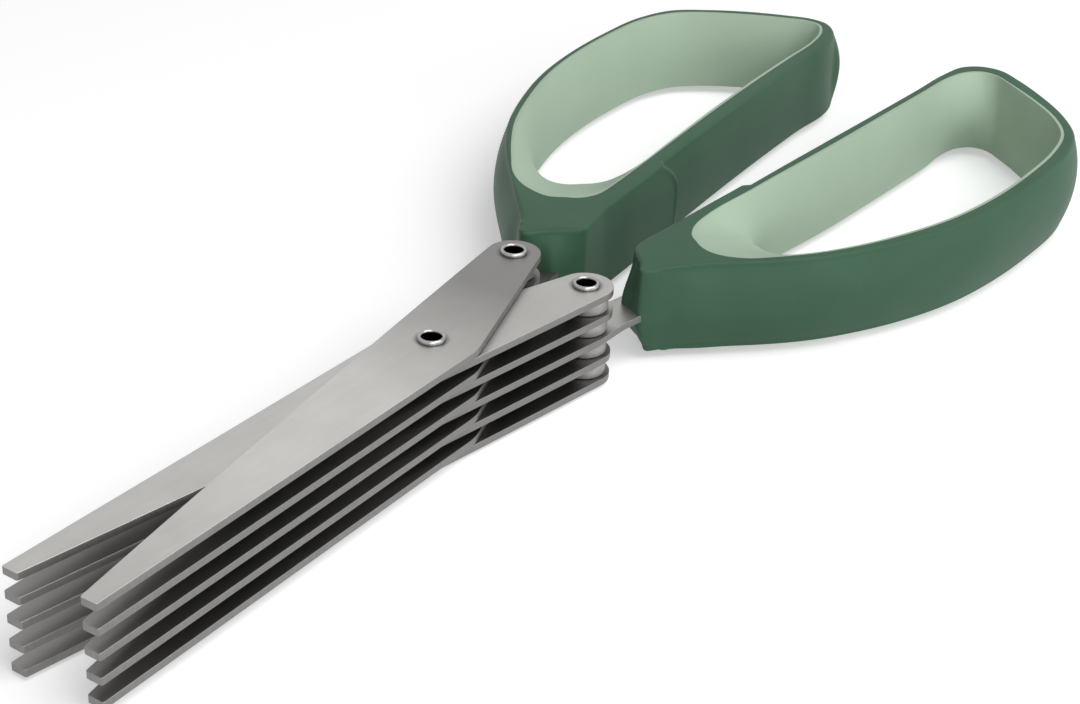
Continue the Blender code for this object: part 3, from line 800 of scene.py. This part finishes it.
@dataclass(frozen=True)
class HalfTone:
    """The two tones of one half's steel, how much painted shade it has at its rear end and how much darker
    its tips are.
    """

    light: Colour
    dark: Colour
    rear_shade: float
    tip_darkening: float


GROUND_LINES = Grain((320, 9500, 900), detail=3.0, rough=0.6)
GROUND_BANDS = Grain((45, 900, 200), detail=4.0, rough=0.55)
CLOUDS = Grain((160, 160, 160), detail=3.0, rough=0.5)
SHEARED = Grain((2600, 2600, 700), detail=3.0, rough=0.6)
SCUFFS = Grain((900, 900, 1800), detail=4.0, rough=0.6)
TONE_DRIFT = Grain((70, 70, 110), detail=3.0, rough=0.5)
MOULD_FLOW = Grain((38, 60, 240), detail=2.0, rough=0.45)

# Each half's painted shade at its rear end, and how much darker its tips are.
HALF_TONES = {
    Body.UPPER: HalfTone(
        light=(0.57, 0.562, 0.545, 1.0), dark=(0.51, 0.502, 0.487, 1.0), rear_shade=0.66, tip_darkening=0.22
    ),
    Body.LOWER: HalfTone(
        light=(0.50, 0.492, 0.476, 1.0), dark=(0.45, 0.442, 0.427, 1.0), rear_shade=0.12, tip_darkening=0.04
    ),
}
SHELL_PLASTIC = MouldedPlastic(
    name="dark_green_grained_plastic",
    slot="shell",
    light=(0.056, 0.127, 0.077, 1.0),
    dark=(0.047, 0.109, 0.066, 1.0),
    gloss=0.11,
)
LINER_RUBBER = MouldedPlastic(
    name="pale_green_soft_plastic",
    slot="liner",
    light=(0.430, 0.548, 0.430, 1.0),
    dark=(0.400, 0.516, 0.400, 1.0),
    rough=(0.55, 0.66),
    grain=3800.0,
    grain_bump=(0.35, 0.000010),
)


class Loop:
    """The plan of one handle: its outer edge, its liner edge and its throat, station by station."""

    def __init__(self, plan: LoopPlan, pivot: Plan):
        self.plan = plan
        self.pivot = np.array(pivot)
        self.start = BLADE.rear_x + BLADE.rear_radius + HANDLE.clearance
        fine, corners = self.fine_curves()
        along = np.roll(fine[0], -1, axis=0) - np.roll(fine[0], 1, axis=0)
        outward = unit(np.stack([-along[:, 1], along[:, 0]], axis=1))
        kept = self.kept_stations(fine[0], outward)
        self.outer, self.edge, throat = (curve[kept] for curve in fine)
        self.outward = outward[kept]
        self.inward = unit(throat - self.edge)
        self.shape_wall(corners)
        reach = np.linalg.norm(throat - self.edge, axis=1)
        swell = reach - HANDLE.liner_gap - HANDLE.liner_land - self.inset / 2
        self.swell = np.maximum(swell, HANDLE.least_swell)
        self.shape_rim(nearest(self.outer, corners), self.corner_radii(fine[0], outward)[kept])

    def fine_curves(self) -> tuple[list[Array], Sequence[Array]]:
        """Draws the three curves with all their stations, and finds the two front corners.

        Returns:
            The outer edge, the liner's edge and the throat, then the corners. A loop whose plan says so
            has the corner beside its stop pad brought to a point. Both corners are then eased a little.
        """
        side = self.plan.body.side
        spokes = np.array(self.plan.spokes).reshape(-1, 3, 2) / SPOKE_SCALE
        places = spokes * (HANDLE.length, side * self.plan.spread) + (self.start, 0)
        corners = (places[:2, 0].mean(axis=0), places[-3:-1, 0].mean(axis=0))
        if side > 0:
            places = places[::-1]
        fine = [softened(closed_curve(places[:, k])) for k in range(3)]
        if self.plan.pointed:
            inner, outer = sorted(corners, key=lambda corner: side * corner[1])
            fine[0], point = pointed(fine[0], inner)
            corners = (point, outer)
        easing = bell(nearest(fine[0], corners), HANDLE.corner_ease)[:, None]
        fine[0] = fine[0] + (softened(fine[0]) - fine[0]) * easing
        return fine, corners

    def kept_stations(self, curve: Array, outward: Array) -> Array:
        """Marks the stations to keep: one in a few, and all of them at the pad's end and round corners.

        Args:
            curve: All the stations of the outer edge.
            outward: The outward direction at each.

        Returns:
            True for each station that is kept.
        """
        pad_bend = self.plan.pad_end + HANDLE.pad_end_bow * HANDLE.pad_end_middle
        by_pad_end = np.abs(curve[:, 0] - pad_bend) < HANDLE.pad_end_bow
        after = np.roll(outward, -1, axis=0)
        turn = softened(np.abs(outward[:, 0] * after[:, 1] - outward[:, 1] * after[:, 0]))
        spaced = np.arange(len(outward)) % STATION_STRIDE == 0
        return spaced | (by_pad_end & (outward[:, 1] * -self.plan.body.side > 0)) | (turn > CORNER_TURN)

    def shape_wall(self, corners: Sequence[Array]) -> None:
        """Works out the wall's bulge, step, flare, inset and rake at each station.

        Args:
            corners: The two front corners.
        """
        ahead = self.outer[:, 0]
        facing = self.outward[:, 1] * -self.plan.body.side
        self.mating = smooth_step((facing - HANDLE.pad_facing) / HANDLE.pad_fade)
        near = smooth_step((HANDLE.bow_bulge_x + HANDLE.bow_bulge_run - ahead) / HANDLE.bow_bulge_run)
        near = near * (1 - self.mating)
        far = smooth_step((ahead - self.start - HANDLE.length + HANDLE.far_reach) / HANDLE.far_run)
        self.bulge = (
            HANDLE.wall_bulge
            + (HANDLE.bow_bulge - HANDLE.wall_bulge) * near
            + (HANDLE.far_bulge - HANDLE.wall_bulge) * far
        )
        fade = smooth_step(1 - (ahead - HANDLE.pad_fade_x) / HANDLE.pad_fade_run)
        self.step = self.plan.pad_rise * self.mating * fade
        self.bulge += (self.plan.pad_rise - HANDLE.pad_step - self.bulge) * self.mating
        self.bulge *= 1 - bell(nearest(self.outer, corners), HANDLE.corner_pin)
        off_middle = np.linalg.norm(self.outer - np.mean(corners, axis=0), axis=1)
        self.bulge += HANDLE.front_bulge * bell(off_middle, HANDLE.front_reach)
        self.flare = HANDLE.far_flare * far
        self.inset = HANDLE.bottom_inset + (HANDLE.far_inset - HANDLE.bottom_inset) * far
        self.rake = HANDLE.front_rake * smooth_step((self.start + HANDLE.rake_run - ahead) / HANDLE.rake_run)

    def shape_rim(self, away: Array, corner_radius: Array) -> None:
        """Works out how widely the rim is rounded, less where it is narrow and near the front corners.

        Args:
            away: Distance of each station from the nearer corner.
            corner_radius: Radius of the outer edge at each.
        """
        rim_width = np.sum((self.outer - self.edge) * self.outward, axis=1) - self.step
        least = HANDLE.corner_share * corner_radius.min()
        room = np.minimum(HANDLE.rim_rounding_share * rim_width, least + HANDLE.corner_taper * away)
        self.rounding = np.minimum(room, HANDLE.edge_rounding)
        self.support = np.minimum(HANDLE.rim_support, HANDLE.support_share * corner_radius)

    @staticmethod
    def corner_radii(curve: Array, outward: Array) -> Array:
        """Radius of the outside corners of a closed curve.

        Args:
            curve: Its stations.
            outward: The outward direction at each.

        Returns:
            Distance between two stations over the turn between their outward directions, evened out along
            the curve, and very long where the curve is straight or hollow.
        """
        after = np.roll(outward, -1, axis=0)
        turn = outward[:, 1] * after[:, 0] - outward[:, 0] * after[:, 1]
        gap = np.linalg.norm(np.roll(curve, -1, axis=0) - curve, axis=1)
        bend = np.maximum(turn / gap, LEAST_BEND)
        return 1 / np.maximum(softened(bend), bend)

    def wall(self, height: float) -> Array:
        """Plan of the outer wall at one height.

        Args:
            height: Share of the half height, from -1 at the bottom to 1 at the top.

        Returns:
            The outer edge moved outward by the bulge times (1 less height squared), and held at the
            stop pad's plane on the mating side up to the pad's bowed end, where a bell-shaped bead follows
            it. Below mid height the front leans back and the far end flares out, both by height squared.
        """
        arch = 1 - height**2
        low = min(height, 0) ** 2
        barrel = self.bulge * arch - self.step
        pad_line = self.plan.pad_end + HANDLE.pad_end_bow * (1 - max(height, 0) ** 2)
        past_pad = smooth_step((self.outer[:, 0] - pad_line) / HANDLE.pad_end_run)
        swelling = np.maximum(barrel, -self.step * past_pad) + self.flare * low
        off_line = (self.outer[:, 0] - pad_line) / HANDLE.bead_width
        swelling = swelling + HANDLE.pad_bead * self.mating * arch * np.exp(-(off_line**2))
        plan = self.outer + self.outward * swelling[:, None]
        plan[:, 0] += self.rake * low
        return plan

    def rim(self, height: float, inset: float = 0.0) -> Array:
        """The edge that the liner starts from, as a level ring, moved inward by an inset."""
        return ring_at(self.edge + self.inward * inset, height)

    def face(self, level: float, backing: float = 0.0, least: float = 0.0) -> Array:
        """A ring of the liner's bare face.

        Args:
            level: Share of the liner's half height.
            backing: Depth behind the bare face.
            least: The least reach inward from the liner's edge.

        Returns:
            Stations whose reach is the land plus the swell times (1 less level squared), moved square to
            the face by the backing.
        """
        half = HANDLE.height / 2 - HANDLE.liner_recess
        reach = HANDLE.liner_gap + HANDLE.liner_land + self.inset * (1 - level) / 2
        reach = reach + self.swell * (1 - level**2)
        lean = self.inset / 2 + 2 * self.swell * level
        length = np.hypot(half, lean)
        reach = np.maximum(reach - backing * half / length, least)
        height = half * level - backing * lean / length
        return np.column_stack([self.edge + self.inward * reach[:, None], height])

    def rounded_edge(self, side: int) -> list[Array]:
        """Rings of the rounding between rim and wall.

        Args:
            side: +1 for the top and -1 for the bottom.

        Returns:
            A level ring beside the rounding, then rings down a quarter circle from the face to the wall.
        """
        lip = self.wall(side)
        width = self.rounding[:, None]
        support = lip - self.outward * (width + self.support[:, None])
        rings = [ring_at(support, side * HANDLE.height / 2)]
        for share in np.linspace(0, 1, FILLET_STEPS):
            turn = share * math.pi / 2
            plan = lip - self.outward * width * (1 - math.sin(turn))
            height = side * (HANDLE.height / 2 - self.rounding * (1 - math.cos(turn)))
            rings.append(np.column_stack([plan, height]))
        return rings

    def placed(self, rings: Iterable[Array]) -> list[Array]:
        """Rings moved from the pivot's frame to the row's."""
        return [ring + (*self.pivot, STACK_MIDDLE) for ring in rings]


def added(name: str, data: bpy.types.ID) -> bpy.types.Object:
    """A new object with the given data, linked to the scene."""
    made = bpy.data.objects.new(name, data)
    bpy.context.scene.collection.objects.link(made)
    return made


@contextmanager
def opened(mesh: Mesh) -> Iterator[bmesh.types.BMesh]:
    """Opens a mesh for editing, and writes it back at the end."""
    bm = bmesh.new()
    bm.from_mesh(mesh)
    yield bm
    bm.to_mesh(mesh)
    bm.free()


def fill_level_face(bm: bmesh.types.BMesh, height: float) -> None:
    """Fills the gap between the two open rims at one height with flat triangles.

    Args:
        bm: The open mesh.
        height: The height of both rims.
    """
    rim = [
        edge
        for edge in bm.edges
        if edge.is_boundary and all(abs(vertex.co.z - height) < LEVEL_REACH for vertex in edge.verts)
    ]
    normal = (0, 0, math.copysign(1, height - STACK_MIDDLE))
    for made in bmesh.ops.triangle_fill(bm, edges=rim, use_beauty=True, normal=normal)["geom"]:
        if isinstance(made, bmesh.types.BMFace):
            made.smooth = False


def ring_surface(name: str, rings: Sequence[Array], crease: float, levels: Sequence[int] = ()) -> Mesh:
    """Makes a closed surface from rings, the last joined to the first.

    Args:
        name: The mesh's name.
        rings: Rings of as many stations each, one array row to a station.
        crease: The angle from which an edge is sharp, in radians.
        levels: Numbers of the rings that a level face joins to the next ring.

    Returns:
        A mesh whose grid wraps both ways, with smooth shading. A level face is filled with triangles of
        its own, because its two edges needn't run alongside each other.
    """
    points = np.concatenate(rings)
    rows, count = len(rings), len(rings[0])
    index = np.arange(rows * count).reshape(rows, count)
    after, beside = np.roll(index, -1, axis=0), np.roll(index, -1, axis=1)
    across = np.roll(after, -1, axis=1)
    drawn = np.setdiff1d(np.arange(rows), levels)
    corners = np.stack([index, beside, across, after], axis=-1)[drawn].reshape(-1, 4)
    mesh = bpy.data.meshes.new(name)
    mesh.vertices.add(len(points))
    mesh.vertices.foreach_set("co", points.astype(np.float32).ravel())
    mesh.loops.add(corners.size)
    mesh.loops.foreach_set("vertex_index", corners.ravel().astype(np.int32))
    mesh.polygons.add(len(corners))
    mesh.polygons.foreach_set("loop_start", np.arange(0, corners.size, 4, dtype=np.int32))
    mesh.update(calc_edges=True)
    mesh.validate()
    mesh.shade_smooth()
    with opened(mesh) as bm:
        for ring in levels:
            fill_level_face(bm, rings[ring][0, 2])
        bmesh.ops.recalc_face_normals(bm, faces=bm.faces)
    mesh.set_sharp_from_angle(angle=crease)
    return mesh


@dataclass
class Piece(ABC):
    """A visible piece that stands for one CAD node."""

    node: str
    body: Body
    finish: Finish

    @abstractmethod
    def mesh(self) -> Mesh:
        """The piece's mesh, in the row frame."""

    def put(self) -> bpy.types.Object:
        """Adds the piece to the scene, on its body and in place of its node.

        Returns:
            The new object, at the origin and untransformed.
        """
        made = added(f"{self.node}_detail", self.mesh())
        made.data.materials.append(self.finish.material())
        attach(made, self.body.value)
        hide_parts(self.node)
        log.info("%s: %d faces", made.name, len(made.data.polygons))
        return made


@dataclass
class Blade(Piece):
    """One stamped blade with broken edges, its two rivet holes and, in the middle pair, its tang."""

    pair: int = 1
    pivot: Plan = (0.0, 0.0)

    def tang_run(self) -> list[Plan]:
        """Outline of the tang behind the rear rivet, from its inner side round to its outer side."""
        centre = np.array((BLADE.rear_x, BLADE.rear_y))
        turn = BLADE.tang_turn - BLADE.half_turn
        along = np.array((math.cos(turn), math.sin(turn)))
        across = np.array((-along[1], along[0]))
        half = BLADE.tang_width / 2

        def place(run: float, offset: float) -> Plan:
            return tuple(centre + along * run + across * offset)

        neck_inner, neck_outer = place(BLADE.tang_neck, -half), place(BLADE.tang_neck, half)
        end_inner, end_outer = place(BLADE.tang_length, -half), place(BLADE.tang_length, half)
        return [
            place(0, -BLADE.rear_radius),
            neck_inner,
            *rounded_corner(end_inner, neck_inner, end_outer, BLADE.tang_rounding),
            *rounded_corner(end_outer, end_inner, neck_outer, BLADE.tang_rounding),
            neck_outer,
            place(0, BLADE.rear_radius),
        ]

    def outline(self) -> list[Plan]:
        """The closed outline in the blade's frame, with the spine parallel to x."""
        tip_spine = (-BLADE.reach, -BLADE.spine_offset)
        tip_edge = (-BLADE.reach, BLADE.tip_width - BLADE.spine_offset)
        neck = (BLADE.neck_x, -BLADE.spine_offset)
        centre = (BLADE.rear_x, BLADE.rear_y)
        inner = tangent_point(neck, centre, BLADE.rear_radius, -1)
        outer = tangent_point(tip_edge, centre, BLADE.rear_radius, 1)
        if self.pair == BLADE.tang_pair:
            rear = [inner, *self.tang_run(), outer]
        else:
            first = math.atan2(inner[1] - centre[1], inner[0] - centre[0])
            last = math.atan2(outer[1] - centre[1], outer[0] - centre[0])
            rear = arc(centre, BLADE.rear_radius, first, last, ARC_STEPS)
        start, end = np.asarray(outer), np.asarray(tip_edge)
        along = unit(end - start)
        outward = np.array((along[1], -along[0]))
        shares = np.linspace(0, 1, CROWN_STEPS + 1)[1:-1]
        rises = BLADE.edge_crown * 4 * shares * (1 - shares)
        crown = [tuple(start + (end - start) * share + outward * rise) for share, rise in zip(shares, rises)]
        return [
            *rounded_corner(tip_spine, tip_edge, neck, BLADE.tip_rounding),
            *rounded_corner(neck, tip_spine, inner, BLADE.neck_rounding),
            *rear,
            *crown,
            *rounded_corner(tip_edge, outer, tip_spine, BLADE.tip_rounding),
        ]

    def in_row(self, points: Iterable[Plan]) -> list[Plan]:
        """Blade-frame points turned to the rest pose, mirrored for the lower half and moved to the pivot."""
        cos, sin = math.cos(BLADE.half_turn), math.sin(BLADE.half_turn)
        side = self.body.side
        return [
            (self.pivot[0] + x * cos - y * sin, self.pivot[1] + side * (x * sin + y * cos)) for x, y in points
        ]

    def filled_curve(self) -> bpy.types.Curve:
        """The outline and its two holes as one raised curve with broken edges, its outside to size."""
        hole = RIVET.shank + RIVET.radial_gap
        curve = bpy.data.curves.new(self.node, "CURVE")
        curve.dimensions = "2D"
        curve.fill_mode = "BOTH"
        curve.bevel_depth = BLADE.edge_break
        curve.bevel_resolution = BEVEL_STEPS
        curve.offset = -BLADE.edge_break
        curve.extrude = BLADE.thickness / 2 - BLADE.edge_break
        holes = [full_circle(centre, hole) for centre in ((0, 0), (BLADE.rear_x, BLADE.rear_y))]
        for points in (self.outline(), *holes):
            spline = curve.splines.new("POLY")
            spline.points.add(len(points) - 1)
            for vertex, (x, y) in zip(spline.points, self.in_row(points)):
                vertex.co = (x, y, 0, 1)
            spline.use_cyclic_u = True
        return curve

    def mesh(self) -> Mesh:
        """The filled curve raised to the blade's height, as a mesh with flat faces and smooth edges."""
        curve = self.filled_curve()
        drawn = added(self.node, curve)
        bpy.context.view_layer.update()
        mesh = bpy.data.meshes.new_from_object(drawn.evaluated_get(bpy.context.evaluated_depsgraph_get()))
        bpy.data.objects.remove(drawn)
        bpy.data.curves.remove(curve)
        height = blade_top(self.body.side, self.pair) - BLADE.thickness / 2
        mesh.transform(Matrix.Translation((0, 0, height)))
        with opened(mesh) as bm:
            bmesh.ops.remove_doubles(bm, verts=bm.verts, dist=BLADE.weld)
            bmesh.ops.recalc_face_normals(bm, faces=bm.faces)
        mesh.materials.clear()
        mesh.shade_smooth()
        mesh.set_sharp_from_angle(angle=BLADE_CREASE)
        normals = np.empty(len(mesh.polygons) * 3, dtype=np.float32)
        mesh.polygons.foreach_get("normal", normals)
        mesh.polygons.foreach_set("use_smooth", np.abs(normals[2::3]) < LEVEL_FACE)
        return mesh


@dataclass
class Turned(Piece):
    """A piece of revolution about an upright axis, from a closed profile of radius and height."""

    axis: Plan = (0.0, 0.0)
    profile: list[Plan] = field(default_factory=list)

    def mesh(self) -> Mesh:
        """Each profile point swept once round the axis: radius times the cosine and the sine of the turn."""
        turns = np.linspace(0, 2 * math.pi, CIRCLE_STEPS, endpoint=False)
        round_axis = np.column_stack([np.cos(turns), np.sin(turns)])
        rings = [ring_at(self.axis + radius * round_axis, height) for radius, height in self.profile]
        return ring_surface(self.node, rings, TURNED_CREASE)


def rivet_profile(low: float, high: float) -> list[Plan]:
    """A hollow rivet through blades that lie from low to high, its ends rolled over into round rims.

    Args:
        low: Height of the lowest blade's underside.
        high: Height of the highest blade's upper face.

    Returns:
        The shank, then each rim: half a turn from the outside to the bore, whose height is the rim's
        height times a power of the sine of the turn.
    """
    half_width = (RIVET.rim - RIVET.bore) / 2
    middle = RIVET.bore + half_width
    top_seat, bottom_seat = high + RIVET.seat_gap, low - RIVET.seat_gap

    def rim(seat: float, outward: int) -> list[Plan]:
        """One rim, from its outer edge to the bore."""
        return [
            (
                middle + half_width * math.cos(turn),
                seat + outward * RIVET.rim_height * math.sin(turn) ** RIVET.rim_power,
            )
            for turn in np.linspace(0, math.pi, RIM_STEPS)
        ]

    shank = [(RIVET.shank, top_seat), (RIVET.shank, bottom_seat)]
    return [*shank, *rim(bottom_seat, -1), *reversed(rim(top_seat, 1))]


def collar_profile(outer: float, low: float, high: float) -> list[Plan]:
    """A spacer or washer from low to high, its outer corners rounded by a quarter circle each."""
    inner = RIVET.shank + RIVET.radial_gap
    corner = min(RIVET.corner, (high - low) * RIVET.corner_share)
    top = [
        (outer - corner * (1 - math.sin(turn)), high - corner * (1 - math.cos(turn)))
        for turn in np.linspace(0, math.pi / 2, COLLAR_STEPS)
    ]
    underside = [(radius, low + high - height) for radius, height in reversed(top)]
    return [*top, *underside, (inner, low), (inner, high)]


@dataclass
class Shell(Piece):
    """The hard green shell of one handle."""

    loop: Loop

    def mesh(self) -> Mesh:
        """Rings round the shell's section: top rim, rounding, barrel wall, rounding, bottom rim, rebate."""
        half = HANDLE.height / 2
        straight = half - HANDLE.edge_rounding
        levels = np.linspace(1, -1, WALL_STEPS + 2)[1:-1]
        backing = HANDLE.liner_wall + HANDLE.liner_gap
        rings = [
            self.loop.rim(half),
            *self.loop.rounded_edge(1),
            *[ring_at(self.loop.wall(level), straight * level) for level in levels],
            *reversed(self.loop.rounded_edge(-1)),
            self.loop.rim(-half),
            *[self.loop.face(-level, backing) for level in np.linspace(1, -1, LINER_STEPS)],
        ]
        rims = (0, len(rings) - LINER_STEPS - 2)
        return ring_surface(self.node, self.loop.placed(rings), MOULDED_CREASE, rims)


@dataclass
class Liner(Piece):
    """The soft liner: it swells from the shell's rims to the throat of the finger hole."""

    loop: Loop

    def mesh(self) -> Mesh:
        """Rings round the liner's section: its back against the shell, its land and its bare face."""
        half = HANDLE.height / 2 - HANDLE.liner_recess
        levels = np.linspace(1, -1, LINER_STEPS)
        rings = [
            self.loop.rim(-half, HANDLE.joint_line),
            *[self.loop.face(-level, HANDLE.liner_wall, HANDLE.liner_gap) for level in levels],
            self.loop.rim(half, HANDLE.joint_line),
            *[self.loop.face(level) for level in levels],
        ]
        return ring_surface(self.node, self.loop.placed(rings), MOULDED_CREASE)


class Scissors:
    """All the pieces of the scissors."""

    def __init__(self) -> None:
        self.pivot = self.centre("pivot_rivet")
        self.rears = {body: self.centre(f"{body.prefix}_rear_rivet") for body in Body}
        axes = (self.pivot, *self.rears.values())
        self.steel = {body: self.blade_steel(body) for body in Body}
        self.bright = TurnedSteel(
            name="bright_rivet_steel",
            slot="rivet",
            light=(0.42, 0.415, 0.404, 1.0),
            dark=(0.31, 0.306, 0.298, 1.0),
            axes=axes,
        )
        self.collar = TurnedSteel(
            name="satin_spacer_steel",
            slot="spacer",
            light=(0.39, 0.383, 0.372, 1.0),
            dark=(0.33, 0.324, 0.315, 1.0),
            rough=(0.50, 0.62),
            axes=axes,
        )

    @staticmethod
    def centre(node: str) -> Plan:
        """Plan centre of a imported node's box."""
        low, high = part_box(node)
        return ((low[0] + high[0]) / 2, (low[1] + high[1]) / 2)

    def blade_steel(self, body: Body) -> SatinSteel:
        """The steel of one half's blades, with its painted shade and darker tips placed along them."""
        tone = HALF_TONES[body]
        return SatinSteel(
            name=f"satin_blade_steel_{body.prefix}",
            slot="steel",
            light=tone.light,
            dark=tone.dark,
            shade_top=blade_top(body.side, 1) - BLADE.thickness / 2,
            tips=self.pivot[0] - BLADE.reach,
            rear=self.rears[body][0],
            rear_shade=tone.rear_shade,
            tip_darkening=tone.tip_darkening,
            seats=(self.pivot, self.rears[body]),
        )

    def collars(self, name: str, body: Body, axis: Plan, outer: float, upper: int, lower: int) -> list[Piece]:
        """The spacers or washers on one rivet, one under each pair but the last.

        Args:
            name: What their names start with.
            body: The body that they ride.
            axis: The rivet's place in plan.
            outer: Their outer radius.
            upper: The side (+1 or -1) of the blade that each lies under.
            lower: The side of the blade that each lies on.

        Returns:
            The pieces, from the top down.
        """
        made: list[Piece] = []
        for pair in range(1, BLADE.pairs):
            high = blade_top(upper, pair) - BLADE.thickness - RIVET.seat_gap
            low = blade_top(lower, pair + 1) + RIVET.seat_gap
            made.append(Turned(f"{name}_{pair}", body, self.collar, axis, collar_profile(outer, low, high)))
        return made

    def half(self, body: Body) -> list[Piece]:
        """The blades, rear rivet and spacers of one half."""
        side, prefix, rear = body.side, body.prefix, self.rears[body]
        low, high = blade_top(side, BLADE.pairs) - BLADE.thickness, blade_top(side, 1)
        return [
            *[
                Blade(f"{prefix}_blade_{pair}", body, self.steel[body], pair=pair, pivot=self.pivot)
                for pair in range(1, BLADE.pairs + 1)
            ],
            Turned(f"{prefix}_rear_rivet", body, self.bright, rear, rivet_profile(low, high)),
            *self.collars(f"{prefix}_spacer", body, rear, RIVET.spacer, side, side),
        ]

    def pivot_pieces(self) -> list[Piece]:
        """The pivot rivet and the washers between the pairs."""
        rivet = Turned("pivot_rivet", Body.LOWER, self.bright, self.pivot, rivet_profile(RIM_SEAT, STACK_TOP))
        return [rivet, *self.collars("pivot_washer", Body.LOWER, self.pivot, RIVET.washer, -1, 1)]

    def handles(self) -> list[Piece]:
        """Both shells and both liners."""
        pieces: list[Piece] = []
        for plan in (SMALL_LOOP, LARGE_LOOP):
            loop = Loop(plan, self.pivot)
            pieces.append(Shell(f"{plan.prefix}_handle_shell", plan.body, SHELL_PLASTIC, loop))
            pieces.append(Liner(f"{plan.prefix}_handle_liner", plan.body, LINER_RUBBER, loop))
        return pieces

    def put(self) -> None:
        """Adds every piece."""
        for piece in [*self.half(Body.UPPER), *self.half(Body.LOWER), *self.pivot_pieces(), *self.handles()]:
            piece.put()


@dataclass(frozen=True)
class Lamp:
    """One soft white rectangular lamp, aimed at the middle of the scissors."""

    name: str
    place: tuple[float, float, float]
    width: float
    height: float
    power: float

    def put(self) -> None:
        """Adds the lamp."""
        light = bpy.data.lights.new(self.name, "AREA")
        light.shape = "RECTANGLE"
        light.size, light.size_y = self.width, self.height
        light.energy = self.power
        made = added(self.name, light)
        made.location = self.place
        made.rotation_mode = "QUATERNION"
        made.rotation_quaternion = (-Vector(self.place)).to_track_quat("-Z", "Y")


@dataclass(frozen=True)
class StudioPlan:
    """How wide and pale the floor is, and how much light the floor and the world give."""

    floor_radius: float = 3.0
    floor_tone: Colour = (0.80, 0.80, 0.80, 1.0)
    floor_roughness: float = 0.9
    floor_glow: float = 0.42
    world_light: float = 0.19
    world_seen: float = 1.0
    white: Colour = (1.0, 1.0, 1.0, 1.0)


STUDIO = StudioPlan()
LAMPS = (
    Lamp("key", (0.0, -0.47, 0.77), width=0.8, height=0.74, power=6.2),
    Lamp("fill", (0.25, -0.95, 0.27), width=0.9, height=0.36, power=1.3),
    Lamp("front", (-0.60, -0.62, 0.36), width=0.6, height=0.40, power=1.9),
)


@dataclass(frozen=True)
class Studio:
    """The floor, the world, the lamps and the camera, round a pivot's place in plan."""

    pivot: Plan

    @staticmethod
    def seen(nodes: Nodes) -> Socket:
        """1 where the camera or a mirrored or refracted ray looks, and 0 elsewhere."""
        path = nodes.new("LightPath", {}).outputs
        mirrored = nodes.math("MAXIMUM", path["Is Glossy Ray"], path["Is Transmission Ray"])
        return nodes.math("MAXIMUM", path["Is Camera Ray"], mirrored)

    def floor(self) -> None:
        """A wide pale floor under the lowest rivet rims, white to the camera except for the shadow."""
        mesh = bpy.data.meshes.new("floor")
        with opened(mesh) as bm:
            bmesh.ops.create_circle(bm, cap_ends=True, segments=FLOOR_STEPS, radius=STUDIO.floor_radius)
        made = added("floor", mesh)
        made.location = (0, 0, CAD_BOX[0][2])
        material = bpy.data.materials.new("pale_floor")
        nodes = Nodes(material)
        matt = {"Roughness": STUDIO.floor_roughness, "Specular IOR Level": 0.0}
        shader = nodes.fill(SURFACE_SHADER, {"Base Color": STUDIO.floor_tone, **matt})
        strength = nodes.math("MULTIPLY", self.seen(nodes), STUDIO.floor_glow)
        glow = nodes.new("Emission", {"Color": STUDIO.white, "Strength": strength})
        both = nodes.new("AddShader", {0: shader.outputs[0], 1: glow.outputs[0]})
        nodes.fill("Material Output", {"Surface": both.outputs[0]})
        mesh.materials.append(material)

    def world(self) -> None:
        """An even pale world, white to the camera."""
        world = bpy.data.worlds.new("studio")
        bpy.context.scene.world = world
        nodes = Nodes(world)
        strength = nodes.span(self.seen(nodes), 0.0, 1.0, STUDIO.world_light, STUDIO.world_seen)
        nodes.fill("Background", {"Color": STUDIO.white, "Strength": strength})

    def camera(self) -> None:
        """The photograph's camera, aimed so that the pivot falls in place."""
        azimuth, elevation, roll = CAMERA.azimuth, CAMERA.elevation, CAMERA.roll
        ground = math.cos(elevation)
        back = np.array((ground * math.cos(azimuth), ground * math.sin(azimuth), math.sin(elevation)))
        level = np.array((-math.sin(azimuth), math.cos(azimuth), 0.0))
        upright = np.cross(back, level)
        right = level * math.cos(roll) + upright * math.sin(roll)
        up = upright * math.cos(roll) - level * math.sin(roll)
        aside = (right * CAMERA.pivot_right + up * CAMERA.pivot_up) / CAMERA.focal
        place = np.array((*self.pivot, STACK_TOP)) + (back - aside) * CAMERA.distance
        data = bpy.data.cameras.new("camera")
        data.sensor_fit = "HORIZONTAL"
        data.sensor_width = CAMERA.sensor
        data.lens = CAMERA.focal / CAMERA.frame_width * CAMERA.sensor
        data.clip_start, data.clip_end = CAMERA.nearest, CAMERA.farthest
        made = added("camera", data)
        axes = Matrix([(*row,) for row in np.column_stack([right, up, back])])
        made.matrix_world = Matrix.Translation(Vector(place)) @ axes.to_4x4()
        bpy.context.scene.camera = made

    def put(self) -> None:
        """Adds the whole studio."""
        self.floor()
        self.world()
        for lamp in LAMPS:
            lamp.put()
        self.camera()
        bpy.context.scene.view_settings.view_transform = "Standard"


def main() -> None:
    """Builds the dressed scissors and the studio round them."""
    logging.basicConfig(level=logging.INFO)
    scissors = Scissors()
    scissors.put()
    Studio(scissors.pivot).put()


if __name__ == "__main__":
    main()
